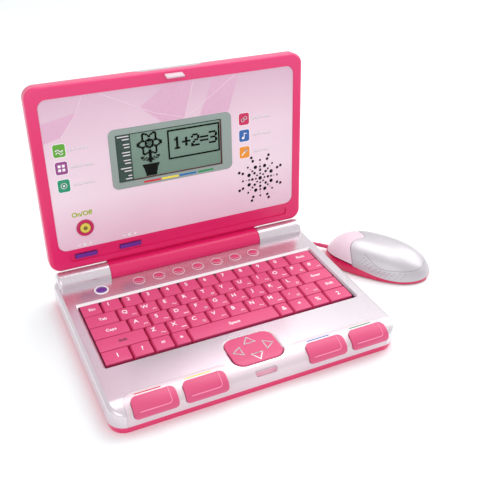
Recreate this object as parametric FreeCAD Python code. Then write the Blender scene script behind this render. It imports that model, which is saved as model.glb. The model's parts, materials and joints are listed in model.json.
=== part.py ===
import FreeCAD, Part
import math
import os

V = FreeCAD.Vector
X_AXIS, Y_AXIS, Z_AXIS = V(1, 0, 0), V(0, 1, 0), V(0, 0, 1)

# ---------------------------------------------------------------- driving dimensions (mm, degrees)
# Frame: origin at the centre of the laptop's footprint on the table, +X to the user's right,
# +Y to the hinge side, +Z up.  The lid stands open; the mouse lies beside the base.

BASE_HALF_W = 135.0        # half width of the base and of the lid
BASE_REAR = 100.0
SPLIT_Z = 7.0              # joint between the lower and the upper case
BASE_FRONT = -100.0
DECK_Z = 25.0              # top surface of the base
PLAN_R = 15.0              # plan corners of the base
WALL = 2.2
EDGE_R = 4.0               # rounding along the top of the base
SEAM = 0.15                # visible joint between neighbouring pieces
BOTTOM_TAPER = 1.8         # the lower case narrows towards the table
BOTTOM_RECESS = 0.8        # the underside inside its rim

NOSE_BEND_Y = -83.5        # the deck starts to fall towards the front here
NOSE_R1, NOSE_TURN1 = 26.0, 30.0
NOSE_R2 = 7.0

KEY_PITCH = 19.42
ROW_PITCH = 17.45
ROW_DEPTH = 16.5
ROW1_REAR = 44.5
ROW_FIRST_GAP = [-102.7, -92.4, -87.4, -76.9]
ROW_GAPS = [11, 11, 10, 10]
BOTTOM_ROW_GAPS = [-96.9, -77.7, -58.8, -43.7, 43.1, 57.6, 77.4, 96.5]
KEY_FOOT_Z, KEY_FRONT_Z, KEY_REAR_Z = 19.0, 23.6, 24.3
WELL = (-122.3, 122.3, -45.3, 45.1)
WELL_BEVEL = 1.7
PRESS_TRAVEL = 1.2

BATTERY_BAY = (-82.0, 82.0, 48.6, 65.4, 1.0)
FOOT_PLACES = [(sx * 116.0, y) for sx in (-1, 1) for y in (-82.0, 82.0)]

MODE_COUNT, MODE_PITCH, MODE_X, MODE_Y, MODE_R = 7, 20.6, 4.3, 62.0, 5.3
ROUND_X, ROUND_Y, ROUND_R = -95.2, 61.2, 5.0

PAD_HALF_W, PAD_FRONT, PAD_REAR, PAD_R = 23.0, -90.3, -55.5, 9.0
FRONT_BUTTON_X = [-97.5, -54.0, 59.5, 103.0]
FRONT_BUTTON_HALF_W = 19.0
FRONT_BUTTON_REAR = -87.6
FRONT_BUTTON_LOW_Z = 13.0
TILT_Y, TILT_Z = -88.2, 19.0       # pivot of the front buttons
TILT_ROOM = 0.9            # room under their lower edge for the tilt
BUTTON_PROUD = 1.5         # how far they stand out of the case

TRIM_HALF_W = 121.6
TRIM_REAR = -81.2
TRIM_DIP_Y = -93.3
LATCH_Y = -98.0
LATCH_HALF_W = 10.2

HINGE_Y, HINGE_Z = 86.0, 26.3
BARREL_R = 10.6
BARREL_IN, BARREL_OUT = 80.5, 131.5
PIN_R = 3.0

LID_LEAN = 5.34            # how far the open lid leans back from upright
LID_FOOT = V(0, 87.66, 37.15)
LID_TOP = 178.5
LID_R = 11.0
FRAME_DEPTH = 11.5
LID_DEPTH = 17.0
LID_WALL = 2.4
LEAN = math.radians(LID_LEAN)
TO_AXIS = V(0, HINGE_Y, HINGE_Z) - LID_FOOT
AXIS_S = TO_AXIS.y * math.sin(LEAN) + TO_AXIS.z * math.cos(LEAN)    # hinge axis in the lid's own plane
AXIS_N = TO_AXIS.z * math.sin(LEAN) - TO_AXIS.y * math.cos(LEAN)
WEB_LOW_S, WEB_REAR_N = -8.0, -9.0    # neck between lid and barrel, low corner inside the barrel's round

PANEL = (-124.9, 124.9, 20.5, 167.2, 8.0)
BEZEL = (-66.5, 56.5, 72.5, 131.0, 6.0)
WINDOW = (-60.2, 46.0, 78.8, 125.4, 1.0)
SPEAKER_X, SPEAKER_S = 87.6, 55.5
POWER_X, POWER_S = -97.5, 41.0
CHANNEL = (-116.0, 118.0, 8.0, 17.2, 4.0)
ROCKER_X, ROCKER_S, ROCKER_HALF_W = (-99.7, -55.4), 12.6, 10.6

PLUG_X, PLUG_ANGLE = (-52.0, 0.0, 52.0), -28.0
LID_SCREWS = [(sx * 122.0, s) for sx in (-1, 1) for s in (12.0, 168.0)]

MOUSE_X, MOUSE_Y = 196.0, 23.0
MOUSE_TURN = 130.5         # direction of the mouse's nose, from +X
MOUSE_LEN, MOUSE_W, MOUSE_H = 113.0, 65.0, 29.5
MOUSE_FLOOR = 1.2
MOUSE_POWER, MOUSE_CREST = 2.6, 0.38
MOUSE_WALL = 2.0
MOUSE_GAP = 0.5            # joint around the mouse's button
BUTTON_GAP = 1.35          # room under the mouse's button for its travel
BALL_R, BALL_X = 10.0, 12.0
RELIEF_X, RELIEF_Z = 52.0, 6.0
RELIEF_LEN, RELIEF_R = 14.0, 2.2

CORD_R = 1.75
COIL_X, COIL_Y, COIL_MID_R = 81.5, 131.7, 19.5
COIL_IN, COIL_OUT, COIL_H = 15.9, 23.1, 7.0
SOCKET_X, SOCKET_Z = 30.0, 12.5
SOCKET_IN = 92.0           # inner end of the socket, behind the lid's barrel
PLUG_END_Y = 126.0
LEAD_ROUTE = [(30.0, 126.0, 12.5), (30.0, 136.5, 10.0), (33.5, 147.0, 4.4), (43.0, 154.3, 1.9),
              (56.0, 156.4, 1.75), (69.0, 153.9, 1.75), (81.5, 152.9, 1.75)]
CORD_ROUTE = [(96.0, 144.7, 3.2), (107.5, 134.6, 1.75), (117.0, 121.8, 1.75), (128.8, 110.2, 1.8),
              (138.6, 96.4, 2.7), (145.4, 82.3, 5.3), (153.04, 73.31, 6.0)]


# ---------------------------------------------------------------- helpers

def rounded_wire(x0, x1, y0, y1, r, z):
    """Closed rectangle with round corners, at height z."""
    k = r * (1 - math.sqrt(0.5))
    pts = [(x0 + r, y0), (x1 - r, y0), (x1 - k, y0 + k), (x1, y0 + r), (x1, y1 - r), (x1 - k, y1 - k),
           (x1 - r, y1), (x0 + r, y1), (x0 + k, y1 - k), (x0, y1 - r), (x0, y0 + r), (x0 + k, y0 + k)]
    p = [V(a, b, z) for a, b in pts]
    edges = [Part.LineSegment(p[0], p[1]).toShape(), Part.Arc(p[1], p[2], p[3]).toShape(),
             Part.LineSegment(p[3], p[4]).toShape(), Part.Arc(p[4], p[5], p[6]).toShape(),
             Part.LineSegment(p[6], p[7]).toShape(), Part.Arc(p[7], p[8], p[9]).toShape(),
             Part.LineSegment(p[9], p[10]).toShape(), Part.Arc(p[10], p[11], p[0]).toShape()]
    return Part.Wire(edges)


def rounded_prism(x0, x1, y0, y1, r, z0, z1):
    return Part.Face(rounded_wire(x0, x1, y0, y1, r, z0)).extrude(V(0, 0, z1 - z0))


def frustum(lower, upper, z0, z1):
    """Solid between two rounded rectangles, each (x0, x1, y0, y1, r)."""
    return Part.makeLoft([rounded_wire(*lower, z0), rounded_wire(*upper, z1)], True, True)


def box(x0, x1, y0, y1, z0, z1):
    return Part.makeBox(x1 - x0, y1 - y0, z1 - z0, V(x0, y0, z0))


def cylinder(r, x, y, z0, z1):
    return Part.makeCylinder(r, z1 - z0, V(x, y, z0), Z_AXIS)


def bar_x(r, x0, x1, y, z):
    """Round bar along X."""
    return Part.makeCylinder(r, x1 - x0, V(x0, y, z), X_AXIS)


def grow(rect, d):
    x0, x1, y0, y1, r = rect
    return (x0 - d, x1 + d, y0 - d, y1 + d, max(r + d, 0.3))


def fuse(shapes):
    return shapes[0].multiFuse(shapes[1:]).removeSplitter() if len(shapes) > 1 else shapes[0]


def top_edges(shape, z_min):
    """Edges that lie wholly above z_min."""
    return [e for e in shape.Edges if e.BoundBox.ZMin > z_min]


def extrude_x(edges, x0, x1):
    """Face of a closed chain of edges in the YZ plane, pushed along X."""
    face = Part.Face(Part.Wire(edges))
    face.translate(V(x0, 0, 0))
    return face.extrude(V(x1 - x0, 0, 0))


def line(a, b):
    return Part.LineSegment(a, b).toShape()


def arc(a, m, b):
    return Part.Arc(a, m, b).toShape()


def export(shape, name):
    shape.exportStep("parts/%s.step" % name)


# ---------------------------------------------------------------- base: outer form

def base_form(inset, z0):
    """The base above z0 with every outer face moved in by inset."""
    y0, y1, zt = BASE_FRONT + inset, BASE_REAR - inset, DECK_Z - inset
    r1, r2, turn = NOSE_R1 - inset, NOSE_R2 - inset, math.radians(NOSE_TURN1)

    def on(c, r, a):
        return V(0, c.y - r * math.sin(a), c.z + r * math.cos(a))

    c1 = V(0, NOSE_BEND_Y, DECK_Z - NOSE_R1)
    c2 = on(c1, NOSE_R1 - NOSE_R2, turn)
    flat, bend, nose = V(0, NOSE_BEND_Y, zt), on(c1, r1, turn), on(c2, r2, math.pi / 2)
    edges = [line(V(0, y1, z0), V(0, y1, zt)), line(V(0, y1, zt), flat),
             arc(flat, on(c1, r1, turn / 2), bend),
             arc(bend, on(c2, r2, (turn + math.pi / 2) / 2), nose),
             line(nose, V(0, nose.y, z0)), line(V(0, nose.y, z0), V(0, y1, z0))]
    half = BASE_HALF_W - inset
    side = extrude_x(edges, -half - 1, half + 1)
    return side.common(rounded_prism(-half, half, min(y0, nose.y), y1, PLAN_R - inset, z0, DECK_Z + 5))


def base_outer():
    form = base_form(0, SPLIT_Z + SEAM)
    rim = [e for e in top_edges(form, SPLIT_Z + 1)
           if not (e.BoundBox.XMin < -50 and e.BoundBox.XMax > 50 and e.BoundBox.YMax < 0)]
    return form.makeFillet(EDGE_R, rim)


def trim_region(y_front):
    """Plan outline of the front trim: square front corners, a dip in front of the direction pad."""
    r, w, back, dip = 10.0, TRIM_HALF_W, TRIM_REAR, TRIM_DIP_Y
    q, h = math.sqrt(0.5), math.radians(22.5)
    r1, r2 = 7.0, 9.0
    a, b, c = V(-w, y_front, 0), V(-w, back - r, 0), V(-w + r, back, 0)
    d = V(-37.0, back, 0)
    e = V(d.x + r1 * q, back - r1 + r1 * q, 0)
    f = V(e.x + (e.y - dip - r2 + r2 * q), dip + r2 - r2 * q, 0)
    g = V(f.x + r2 * q, dip, 0)
    half = [line(a, b), arc(b, V(-w + r - r * q, back - r + r * q, 0), c), line(c, d),
            arc(d, V(d.x + r1 * math.sin(h), back - r1 + r1 * math.cos(h), 0), e), line(e, f),
            arc(f, V(g.x - r2 * math.sin(h), dip + r2 - r2 * math.cos(h), 0), g)]
    wire = Part.Wire(half)
    mirrored = wire.mirror(V(0, 0, 0), X_AXIS)
    edges = half + [line(g, V(-g.x, g.y, 0))] + mirrored.Edges[::-1] + [line(V(-a.x, a.y, 0), a)]
    return Part.Face(Part.Wire(Part.__sortEdges__(edges)))


def front_button_space(x, gap, low_z):
    """Room of one front button: rounded seen from above and seen from the front."""
    w = FRONT_BUTTON_HALF_W + gap
    plan = rounded_prism(x - w, x + w, -115, FRONT_BUTTON_REAR + gap, 5.5 + gap, 0, 40)
    front = rounded_prism(x - w, x + w, low_z, 60, 4.0 + gap, 0, 120)
    front.rotate(V(0, 0, 0), X_AXIS, 90)
    return plan.common(front)


def base_screw_places():
    return [(sx * 128.2, y) for sx in (-1, 1) for y in (70.0, -20.0, -74.0)]


def mode_places():
    x0 = MODE_X - MODE_PITCH * (MODE_COUNT - 1) / 2
    return [(x0 + i * MODE_PITCH, MODE_Y) for i in range(MODE_COUNT)]


def bevelled_hole(rect, z0, bevel):
    """Hole through the deck, opening out at the top."""
    hole = rounded_prism(*rect, z0, DECK_Z + 1)
    return hole.fuse(frustum(rect, grow(rect, bevel + 0.02), DECK_Z - bevel, DECK_Z + 0.02))


def make_upper_case(outer, region):
    shell = outer.cut(base_form(WALL, SPLIT_Z - 1))
    shell = shell.cut(region)
    for s in (-1, 1):
        a, b = sorted((s * BARREL_IN, s * BARREL_OUT))
        housing = bar_x(BARREL_R, a, b, HINGE_Y, HINGE_Z)
        outer_end = [e for e in housing.Edges if abs(e.CenterOfMass.x - s * BARREL_OUT) < 0.01]
        shell = shell.fuse(housing.makeFillet(3.0, outer_end))
    lip = bar_x(BARREL_R + 2.6, -BARREL_IN, BARREL_IN, HINGE_Y, HINGE_Z)
    below_deck = box(-200, 200, 0, 99, 0, DECK_Z - 0.4)
    shell = shell.fuse(lip.common(base_form(0.4, SPLIT_Z + 1)).common(below_deck))
    for x, y in base_screw_places():
        shell = shell.fuse(cylinder(3.2, x, y, SPLIT_Z + SEAM, DECK_Z - WALL + 0.3))
    gap = 0.4
    shell = shell.cut(bar_x(BARREL_R + 0.6, -BARREL_IN - gap, BARREL_IN + gap, HINGE_Y, HINGE_Z))
    for s in (-1, 1):
        a, b = sorted((s * (BARREL_IN + 5.5), s * (BARREL_OUT - 4)))
        shell = shell.cut(bar_x(BARREL_R - 2.4, a, b, HINGE_Y, HINGE_Z))
        a, b = sorted((s * (BARREL_IN - 2), s * (BARREL_IN + 7)))
        shell = shell.cut(bar_x(PIN_R + 0.05, a, b, HINGE_Y, HINGE_Z))
    for x, y in base_screw_places():
        shell = shell.cut(cylinder(1.3, x, y, SPLIT_Z, 17.0))
    shell = shell.cut(bevelled_hole((*WELL, 1.2), 14.0, WELL_BEVEL))
    pad = (-PAD_HALF_W - 0.5, PAD_HALF_W + 0.5, PAD_FRONT - 0.5, PAD_REAR + 0.5, PAD_R + 0.5)
    shell = shell.cut(bevelled_hole(pad, 14.0, 1.4))
    for x, y in mode_places():
        shell = shell.cut(cylinder(MODE_R + 0.35, x, y, 15, 30))
    shell = shell.cut(cylinder(ROUND_R + 2.2, ROUND_X, ROUND_Y, 15, 30))
    rear_hole = Part.makeCylinder(4.2, 20, V(SOCKET_X, SOCKET_IN - 0.2, SOCKET_Z), Y_AXIS)
    return shell.cut(rear_hole)


def make_front_trim(outer, region):
    trim = outer.cut(base_form(WALL, SPLIT_Z - 1)).common(region)
    for x in FRONT_BUTTON_X:
        trim = trim.cut(front_button_space(x, 0.0, FRONT_BUTTON_LOW_Z))
    pad = (-PAD_HALF_W - 0.5, PAD_HALF_W + 0.5, PAD_FRONT - 0.5, PAD_REAR + 0.5, PAD_R + 0.5)
    trim = trim.cut(rounded_prism(*grow(pad, 1.4), 14, 40))
    slot = rounded_prism(-LATCH_HALF_W, LATCH_HALF_W, LATCH_Y - 1.8, LATCH_Y + 1.8, 1.7, 15, 40)
    return trim.cut(slot)


def make_latch_catch():
    """Cup under the latch slot that the lid's hook snaps into."""
    cup = base_form(WALL, 12.5).common(box(-13, 13, -100, -92.5, 12.5, 25))
    slot = rounded_prism(-LATCH_HALF_W, LATCH_HALF_W, LATCH_Y - 1.1, LATCH_Y + 1.8, 1.4, 16.5, 40)
    return cup.cut(slot)


def make_front_button(x):
    """Cap that wraps over the front edge, hinged inside along its rear edge."""
    space = front_button_space(x, -0.35, FRONT_BUTTON_LOW_Z + TILT_ROOM)
    cap = base_form(-BUTTON_PROUD, 5).cut(base_form(3.6, 0)).common(space)
    w = FRONT_BUTTON_HALF_W - 4
    tab = box(x - w, x + w, -90.5, TILT_Y, TILT_Z - 1.0, 21.2)
    return fuse([cap, tab, bar_x(1.0, x - w, x + w, TILT_Y, TILT_Z)])


def make_lower_case():
    bottom = (-BASE_HALF_W, BASE_HALF_W, BASE_FRONT, BASE_REAR, PLAN_R)
    t = BOTTOM_TAPER
    case = frustum(grow(bottom, -t), bottom, 0, SPLIT_Z)
    floor_z = BOTTOM_RECESS + WALL
    case = case.cut(frustum(grow(bottom, -t - 2.4), grow(bottom, -2.6), floor_z, SPLIT_Z + 0.01))
    case = case.cut(rounded_prism(*grow(bottom, -t - 6), -1, BOTTOM_RECESS))
    for x, y in base_screw_places():
        case = case.fuse(cylinder(3.2, x, y, floor_z - 0.5, SPLIT_Z))
    x0, x1, y0, y1, _ = BATTERY_BAY
    around = box(x0 - 1.6, x1 + 1.6, y0 - 1.6, y1 + 1.6, floor_z - 0.5, 15)
    case = case.fuse(around.cut(box(x0, x1, y0, y1, 0, 16)))
    for x, y in base_screw_places():
        case = case.cut(cylinder(1.6, x, y, -1, SPLIT_Z + 1)).cut(cylinder(3.0, x, y, -1, SPLIT_Z - 3.0))
    case = case.cut(rounded_prism(*BATTERY_BAY, -1, floor_z + 1))
    for x, y in FOOT_PLACES:
        case = case.cut(cylinder(6.1, x, y, -1, 2.0))
    return case.removeSplitter()


def make_battery_door():
    door = rounded_prism(*grow(BATTERY_BAY, -0.3), BOTTOM_RECESS, BOTTOM_RECESS + 2.0)
    for i in range(5):
        x = BATTERY_BAY[1] - 14 + i * 2.2
        door = door.cut(box(x, x + 1.0, BATTERY_BAY[2] + 4, BATTERY_BAY[3] - 4, 0, BOTTOM_RECESS + 0.6))
    return door


def make_batteries():
    x0, y = BATTERY_BAY[0] + 4.5, (BATTERY_BAY[2] + BATTERY_BAY[3]) / 2
    cells = []
    for i in range(3):
        x = x0 + i * 51.0
        can = bar_x(7.1, x, x + 49.0, y, 10.4)
        can = can.makeFillet(0.8, [e for e in can.Edges if e.Closed])
        cells.append(can.fuse(bar_x(2.7, x + 49.0, x + 50.3, y, 10.4)).removeSplitter())
    return Part.makeCompound(cells)


def make_battery_contacts():
    x0, x1, y0, y1, _ = BATTERY_BAY
    y = (y0 + y1) / 2
    plate_a = box(x0 + 0.1, x0 + 0.6, y - 6, y + 6, 4, 15)
    plate_b = box(x1 - 0.6, x1 - 0.1, y - 6, y + 6, 4, 15)
    spring = Part.makeHelix(1.1, 3.3, 3.0)
    spring.rotate(V(0, 0, 0), Y_AXIS, 90)
    spring.translate(V(x0 + 0.9, y, 10.4))
    start = spring.Edges[0].Vertexes[0].Point
    along = spring.Edges[0].tangentAt(spring.Edges[0].FirstParameter)
    section = Part.Wire(Part.Circle(start, along, 0.3).toShape())
    coil = Part.Wire(spring.Edges).makePipeShell([section], True, True)
    nub = bar_x(2.4, x1 - 1.0, x1 - 0.6, y, 10.4)
    return Part.makeCompound([plate_a, coil, plate_b.fuse(nub).removeSplitter()])


def make_board(x0, x1, y0, y1, z, chips):
    """Circuit board with its larger components."""
    board = rounded_prism(x0, x1, y0, y1, 2.0, z, z + 1.6)
    for cx, cy, w, d, h in chips:
        board = board.fuse(box(cx - w / 2, cx + w / 2, cy - d / 2, cy + d / 2, z + 1.5, z + 1.6 + h))
    return board.removeSplitter()


def make_main_board():
    chips = [(-70, 5, 26, 26, 2.2), (-30, 12, 14, 9, 1.6), (-20, -16, 10, 6, 1.4), (-95, -20, 12, 8, 3.5),
             (10, 8, 18, 12, 1.8), (25, -22, 8, 8, 5.0)]
    board = make_board(-110, 40, -40, 32, 6.0, chips)
    for i in range(6):
        board = board.fuse(cylinder(2.4, -100 + i * 9.0, -33, 7.5, 12.5))
    return board.removeSplitter()


def make_button_board():
    board = make_board(-118, 118, -90, -56, 9.0, [(-20, -62, 14, 5, 1.5), (62, -66, 10, 8, 1.4)])
    for x in FRONT_BUTTON_X + [-14, 14]:
        board = board.fuse(cylinder(3.6, x, -82, 10.5, 12.4))
    return board.removeSplitter()


def key_rows():
    """Left and right edge of every key, row by row from the back: (row, x0, x1)."""
    rows = []
    for first, gaps in zip(ROW_FIRST_GAP, ROW_GAPS):
        edges = [WELL[0] + 0.6] + [first + KEY_PITCH * i for i in range(gaps)] + [WELL[1] - 0.6]
        rows.append(list(zip(edges[:-1], edges[1:])))
    edges = [WELL[0] + 0.6] + BOTTOM_ROW_GAPS + [WELL[1] - 0.6]
    rows.append(list(zip(edges[:-1], edges[1:])))
    return rows


def make_key(row, x0, x1):
    """One key: upright foot, sloping flanks, and a top that falls towards the user."""
    y1 = ROW1_REAR - row * ROW_PITCH
    y0 = y1 - ROW_DEPTH
    foot = (x0 + 0.4, x1 - 0.4, y0, y1, 0.8)
    left = 0.5 if x0 < WELL[0] + 1 else 2.3
    top = (x0 + 0.4 + left, x1 - 0.9, y0 + 0.5, y1 - 0.4, 0.9)
    skirt_z = KEY_FOOT_Z + 1.5
    key = rounded_prism(*foot, KEY_FOOT_Z, skirt_z).fuse(frustum(foot, top, skirt_z, KEY_REAR_Z + 0.5))
    slope = math.degrees(math.atan2(KEY_REAR_Z - KEY_FRONT_Z, ROW_DEPTH))
    cutter = box(x0 - 5, x1 + 5, 0, 40, 0, 10)
    cutter.translate(V(0, -20, 0))
    cutter.rotate(V(0, 0, 0), X_AXIS, slope)
    cutter.translate(V(0, (y0 + y1) / 2, (KEY_FRONT_Z + KEY_REAR_Z) / 2))
    return key.cut(cutter).removeSplitter()


def make_dome_mat(rows):
    mat = box(WELL[0] + 1, WELL[1] - 1, WELL[2] + 1, WELL[3] - 1, 15.4, 16.2)
    domes = []
    for row, keys in enumerate(rows):
        y = ROW1_REAR - row * ROW_PITCH - ROW_DEPTH / 2
        domes += [Part.makeCone(4.6, 3.0, 1.3, V((a + b) / 2, y, 16.1), Z_AXIS) for a, b in keys]
    return mat.multiFuse(domes).removeSplitter()


def make_dome_button(r, x, y, z_top):
    """Button with a round crown."""
    stem = cylinder(r, x, y, z_top - 7, z_top - 1.2)
    flange = cylinder(r + 1.3, x, y, z_top - 7, z_top - 6)
    crown_r = (r * r + 1.2 * 1.2) / 2.4
    crown = Part.makeSphere(crown_r, V(x, y, z_top - crown_r))
    crown = crown.common(cylinder(r, x, y, z_top - 1.25, z_top + 1))
    return stem.fuse(crown).fuse(flange).removeSplitter()


def make_direction_pad():
    rect = (-PAD_HALF_W, PAD_HALF_W, PAD_FRONT, PAD_REAR, PAD_R)
    pad = rounded_prism(*rect, 17.0, 30.0).common(base_form(-0.4, 10))
    rim = [e for e in pad.Edges if e.BoundBox.ZMin > 22]
    pad = pad.makeFillet(0.8, rim)
    plungers = [cylinder(2.0, x, y, 13.6, 17.1) for x, y in ((-14, -82), (14, -82), (0, -62))]
    return fuse([pad] + plungers)


# ---------------------------------------------------------------- lid, in its own plane
# Here x runs along the hinge, y (= s) up the lid from its lower edge, z out of its front face.

def to_lid(shape):
    """Lay a lid piece from its own plane into the open lid."""
    shape = shape.copy()
    shape.rotate(V(0, 0, 0), X_AXIS, 90 - LID_LEAN)
    shape.translate(LID_FOOT)
    return shape


def lid_slab(inset, z0, z1):
    w = BASE_HALF_W - inset
    return rounded_prism(-w, w, inset, LID_TOP - inset, LID_R - min(inset, LID_R - 1), z0, z1)


def split_step(gap):
    """The middle of the lid's top edge, where the rear cover reaches further forward."""
    pts = [V(-34 - gap, 170, -FRAME_DEPTH), V(-27 - gap, 170, -6.5 + gap), V(27 + gap, 170, -6.5 + gap),
           V(34 + gap, 170, -FRAME_DEPTH), V(-34 - gap, 170, -FRAME_DEPTH)]
    face = Part.Face(Part.makePolygon(pts))
    return face.extrude(V(0, 20, 0))


def grille_holes(r_gain, z0, z1):
    """Speaker holes: a centre hole, eight rays of small holes and eight of large ones between."""
    spec_a = [(4.9, 1.15), (9.0, 1.55), (12.6, 1.2), (15.8, 0.65), (19.6, 1.2)]
    spec_b = [(13.7, 2.05), (21.3, 1.6), (25.5, 1.6)]
    holes = [cylinder(2.1 + r_gain, SPEAKER_X, SPEAKER_S, z0, z1)]
    for i in range(8):
        for spec, turn in ((spec_a, 0.0), (spec_b, 22.5)):
            a = math.radians(45 * i + turn)
            holes += [cylinder(r + r_gain, SPEAKER_X + d * math.cos(a), SPEAKER_S + d * math.sin(a), z0, z1)
                      for d, r in spec]
    return holes


def rocker_places():
    return [(x, ROCKER_S) for x in ROCKER_X]


def make_lid_front_frame():
    frame = lid_slab(0, -FRAME_DEPTH + SEAM, 0)
    frame = frame.makeFillet(3.2, [e for e in frame.Edges if e.BoundBox.ZMin > -0.01])
    frame = frame.cut(lid_slab(LID_WALL, -FRAME_DEPTH - 1, -LID_WALL - 1.2))
    frame = frame.cut(split_step(0))
    x0, x1, s0, s1, r = PANEL
    frame = frame.cut(rounded_prism(x0, x1, s0, s1, r, -1.3, 1))
    frame = frame.cut(rounded_prism(*CHANNEL, -1.3, 1))
    web = rounded_prism(-BARREL_IN, BARREL_IN, WEB_LOW_S, 3.0, 1.0, WEB_REAR_N, -2.2)
    barrel = bar_x(BARREL_R, -BARREL_IN, BARREL_IN, AXIS_S, AXIS_N)
    frame = frame.fuse(web).fuse(barrel)
    frame = frame.cut(bar_x(BARREL_R - 2.4, -BARREL_IN + 5, BARREL_IN - 5, AXIS_S, AXIS_N))
    frame = frame.cut(bar_x(PIN_R, -BARREL_IN - 1, BARREL_IN + 1, AXIS_S, AXIS_N))
    frame = frame.cut(box(-BARREL_IN + 5, BARREL_IN - 5, -3.5, 4.0, -8.6, -4.6))
    frame = frame.cut(box(-31, -13, AXIS_S + 1, 4.0, -8.0, -6.4))
    frame = frame.cut(make_latch_hook())
    frame = frame.cut(rounded_prism(*grow(WINDOW, 3.0), -8, 1))
    frame = frame.cut(cylinder(27.6, SPEAKER_X, SPEAKER_S, -8, 1))
    frame = frame.cut(cylinder(6.4, POWER_X, POWER_S, -8, 1))
    for x, s in rocker_places():
        w = ROCKER_HALF_W + 0.5
        frame = frame.cut(rounded_prism(x - w, x + w, s - 2.6, s + 2.6, 1.2, -8, 1))
    for x in PLUG_X:
        frame = frame.cut(plug_cylinder(x, 4.15, 1.2))
    return frame.removeSplitter()


def plug_cylinder(x, r, depth):
    """Disc sunk into the lower front of the barrel."""
    a = math.radians(PLUG_ANGLE)
    out = V(0, math.sin(a), math.cos(a))
    top = V(x, AXIS_S, AXIS_N) + out * (BARREL_R - depth)
    return Part.makeCylinder(r, depth + 2, top, out)


def make_barrel_plugs():
    skin = bar_x(BARREL_R - 0.1, -BARREL_IN, BARREL_IN, AXIS_S, AXIS_N)
    return Part.makeCompound([plug_cylinder(x, 4.0, 1.1).common(skin) for x in PLUG_X])


def make_lid_back_cover():
    cover = lid_slab(0, -LID_DEPTH, -FRAME_DEPTH)
    cover = cover.makeFillet(4.6, [e for e in cover.Edges if e.BoundBox.ZMax < -LID_DEPTH + 0.01])
    top_wall = box(-50, 50, LID_TOP - LID_WALL, 200, -20, 0)
    cover = cover.fuse(split_step(-SEAM).common(lid_slab(0, -LID_DEPTH, 0)).common(top_wall))
    cover = cover.cut(lid_slab(LID_WALL, -LID_DEPTH + LID_WALL, 0.0))
    for x, s in LID_SCREWS:
        cover = cover.cut(cylinder(3.0, x, s, -LID_DEPTH - 1, -LID_DEPTH + 1.6))
        cover = cover.cut(cylinder(1.6, x, s, -20, 0))
    return cover.removeSplitter()


def make_face_panel():
    x0, x1, s0, s1, r = PANEL
    panel = rounded_prism(x0 + 0.15, x1 - 0.15, s0 + 0.15, s1 - 0.15, r, -1.3, -0.5)
    panel = panel.cut(rounded_prism(*grow(BEZEL, 0.1), -2, 1))
    panel = panel.cut(cylinder(8.4, POWER_X, POWER_S, -2, 1))
    return panel.cut(Part.makeCompound(grille_holes(0, -2, 1)))


def make_display_frame():
    plate = rounded_prism(*BEZEL, -1.3, -0.1)
    plate = plate.makeFillet(0.3, [e for e in plate.Edges if e.BoundBox.ZMin > -0.2])
    return plate.cut(rounded_prism(*WINDOW, -2, 1))


def make_display_module():
    can = rounded_prism(*grow(WINDOW, 2.4), -6.4, -2.6)
    return can.fuse(rounded_prism(*grow(WINDOW, 1.2), -2.7, -1.6)).removeSplitter()


def make_speaker():
    profile = [(0, -14.0), (11, -14.0), (11, -9.6), (13, -9.6), (25.6, -4.6), (26.6, -4.6), (26.6, -3.4),
               (23.6, -3.4), (11.5, -6.2), (7.5, -6.2), (5.5, -5.2), (0, -4.7), (0, -14.0)]
    face = Part.Face(Part.makePolygon([V(x, 0, z) for x, z in profile]))
    cone = face.revolve(V(0, 0, 0), Z_AXIS, 360)
    cone.translate(V(SPEAKER_X, SPEAKER_S, 0))
    return cone


def make_power_ring():
    ring = cylinder(8.2, POWER_X, POWER_S, -1.3, 0.5).fuse(cylinder(6.2, POWER_X, POWER_S, -5, -1.2))
    ring = ring.cut(cylinder(5.3, POWER_X, POWER_S, -6, 2))
    return ring.makeFillet(0.5, [e for e in ring.Edges if e.BoundBox.ZMin > 0.4])


def make_power_button():
    cap = cylinder(4.95, POWER_X, POWER_S, -6.5, 0.9)
    cap = cap.makeFillet(0.6, [e for e in cap.Edges if e.BoundBox.ZMin > 0.8])
    return cap.fuse(cylinder(6.4, POWER_X, POWER_S, -7.5, -6.5)).removeSplitter()


def make_rocker(x, s):
    w = ROCKER_HALF_W
    cap = rounded_prism(x - w, x + w, s - 2.1, s + 2.1, 1.0, -5.0, 0.2)
    cap = cap.makeFillet(0.5, [e for e in cap.Edges if e.BoundBox.ZMin > 0.1])
    dip = Part.makeCylinder(40, 8, V(x, s - 4, 39.6), Y_AXIS)
    return cap.cut(dip).removeSplitter()


def make_latch_hook():
    """Tab with a small barb that reaches into the slot when the lid shuts."""
    pts = [(175.6, -1.2), (175.6, 0.0), (174.4, 5.4), (174.1, 7.3), (173.3, 7.3), (172.4, 6.2), (172.9, 5.4),
           (173.6, 0.0), (173.6, -1.2), (175.6, -1.2)]
    face = Part.Face(Part.makePolygon([V(-8.5, s, z) for s, z in pts]))
    return face.extrude(V(17, 0, 0))


def make_lid_screws():
    return [screw(x, s, -LID_DEPTH + 0.2, 9.0) for x, s in LID_SCREWS]


def screw(x, y, z, length):
    """Pan-head screw pointing up, with a cross recess in its head."""
    head = cylinder(2.7, x, y, z, z + 1.4)
    head = head.makeFillet(0.5, [e for e in head.Edges if e.BoundBox.ZMax < z + 0.1 and e.Closed])
    shank = cylinder(1.25, x, y, z + 1.3, z + length)
    slots = [box(x - a, x + a, y - b, y + b, z - 1, z + 0.8) for a, b in ((1.6, 0.3), (0.3, 1.6))]
    return head.fuse(shank).cut(fuse(slots)).removeSplitter()


def make_hinge_pins():
    pins = []
    for s in (-1, 1):
        a, b = sorted((s * (BARREL_IN - 9), s * (BARREL_IN + 9)))
        pin = bar_x(PIN_R, a, b, AXIS_S, AXIS_N).cut(bar_x(1.4, a - 1, b + 1, AXIS_S, AXIS_N))
        pins.append(pin)
    return Part.makeCompound(pins)


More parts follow.
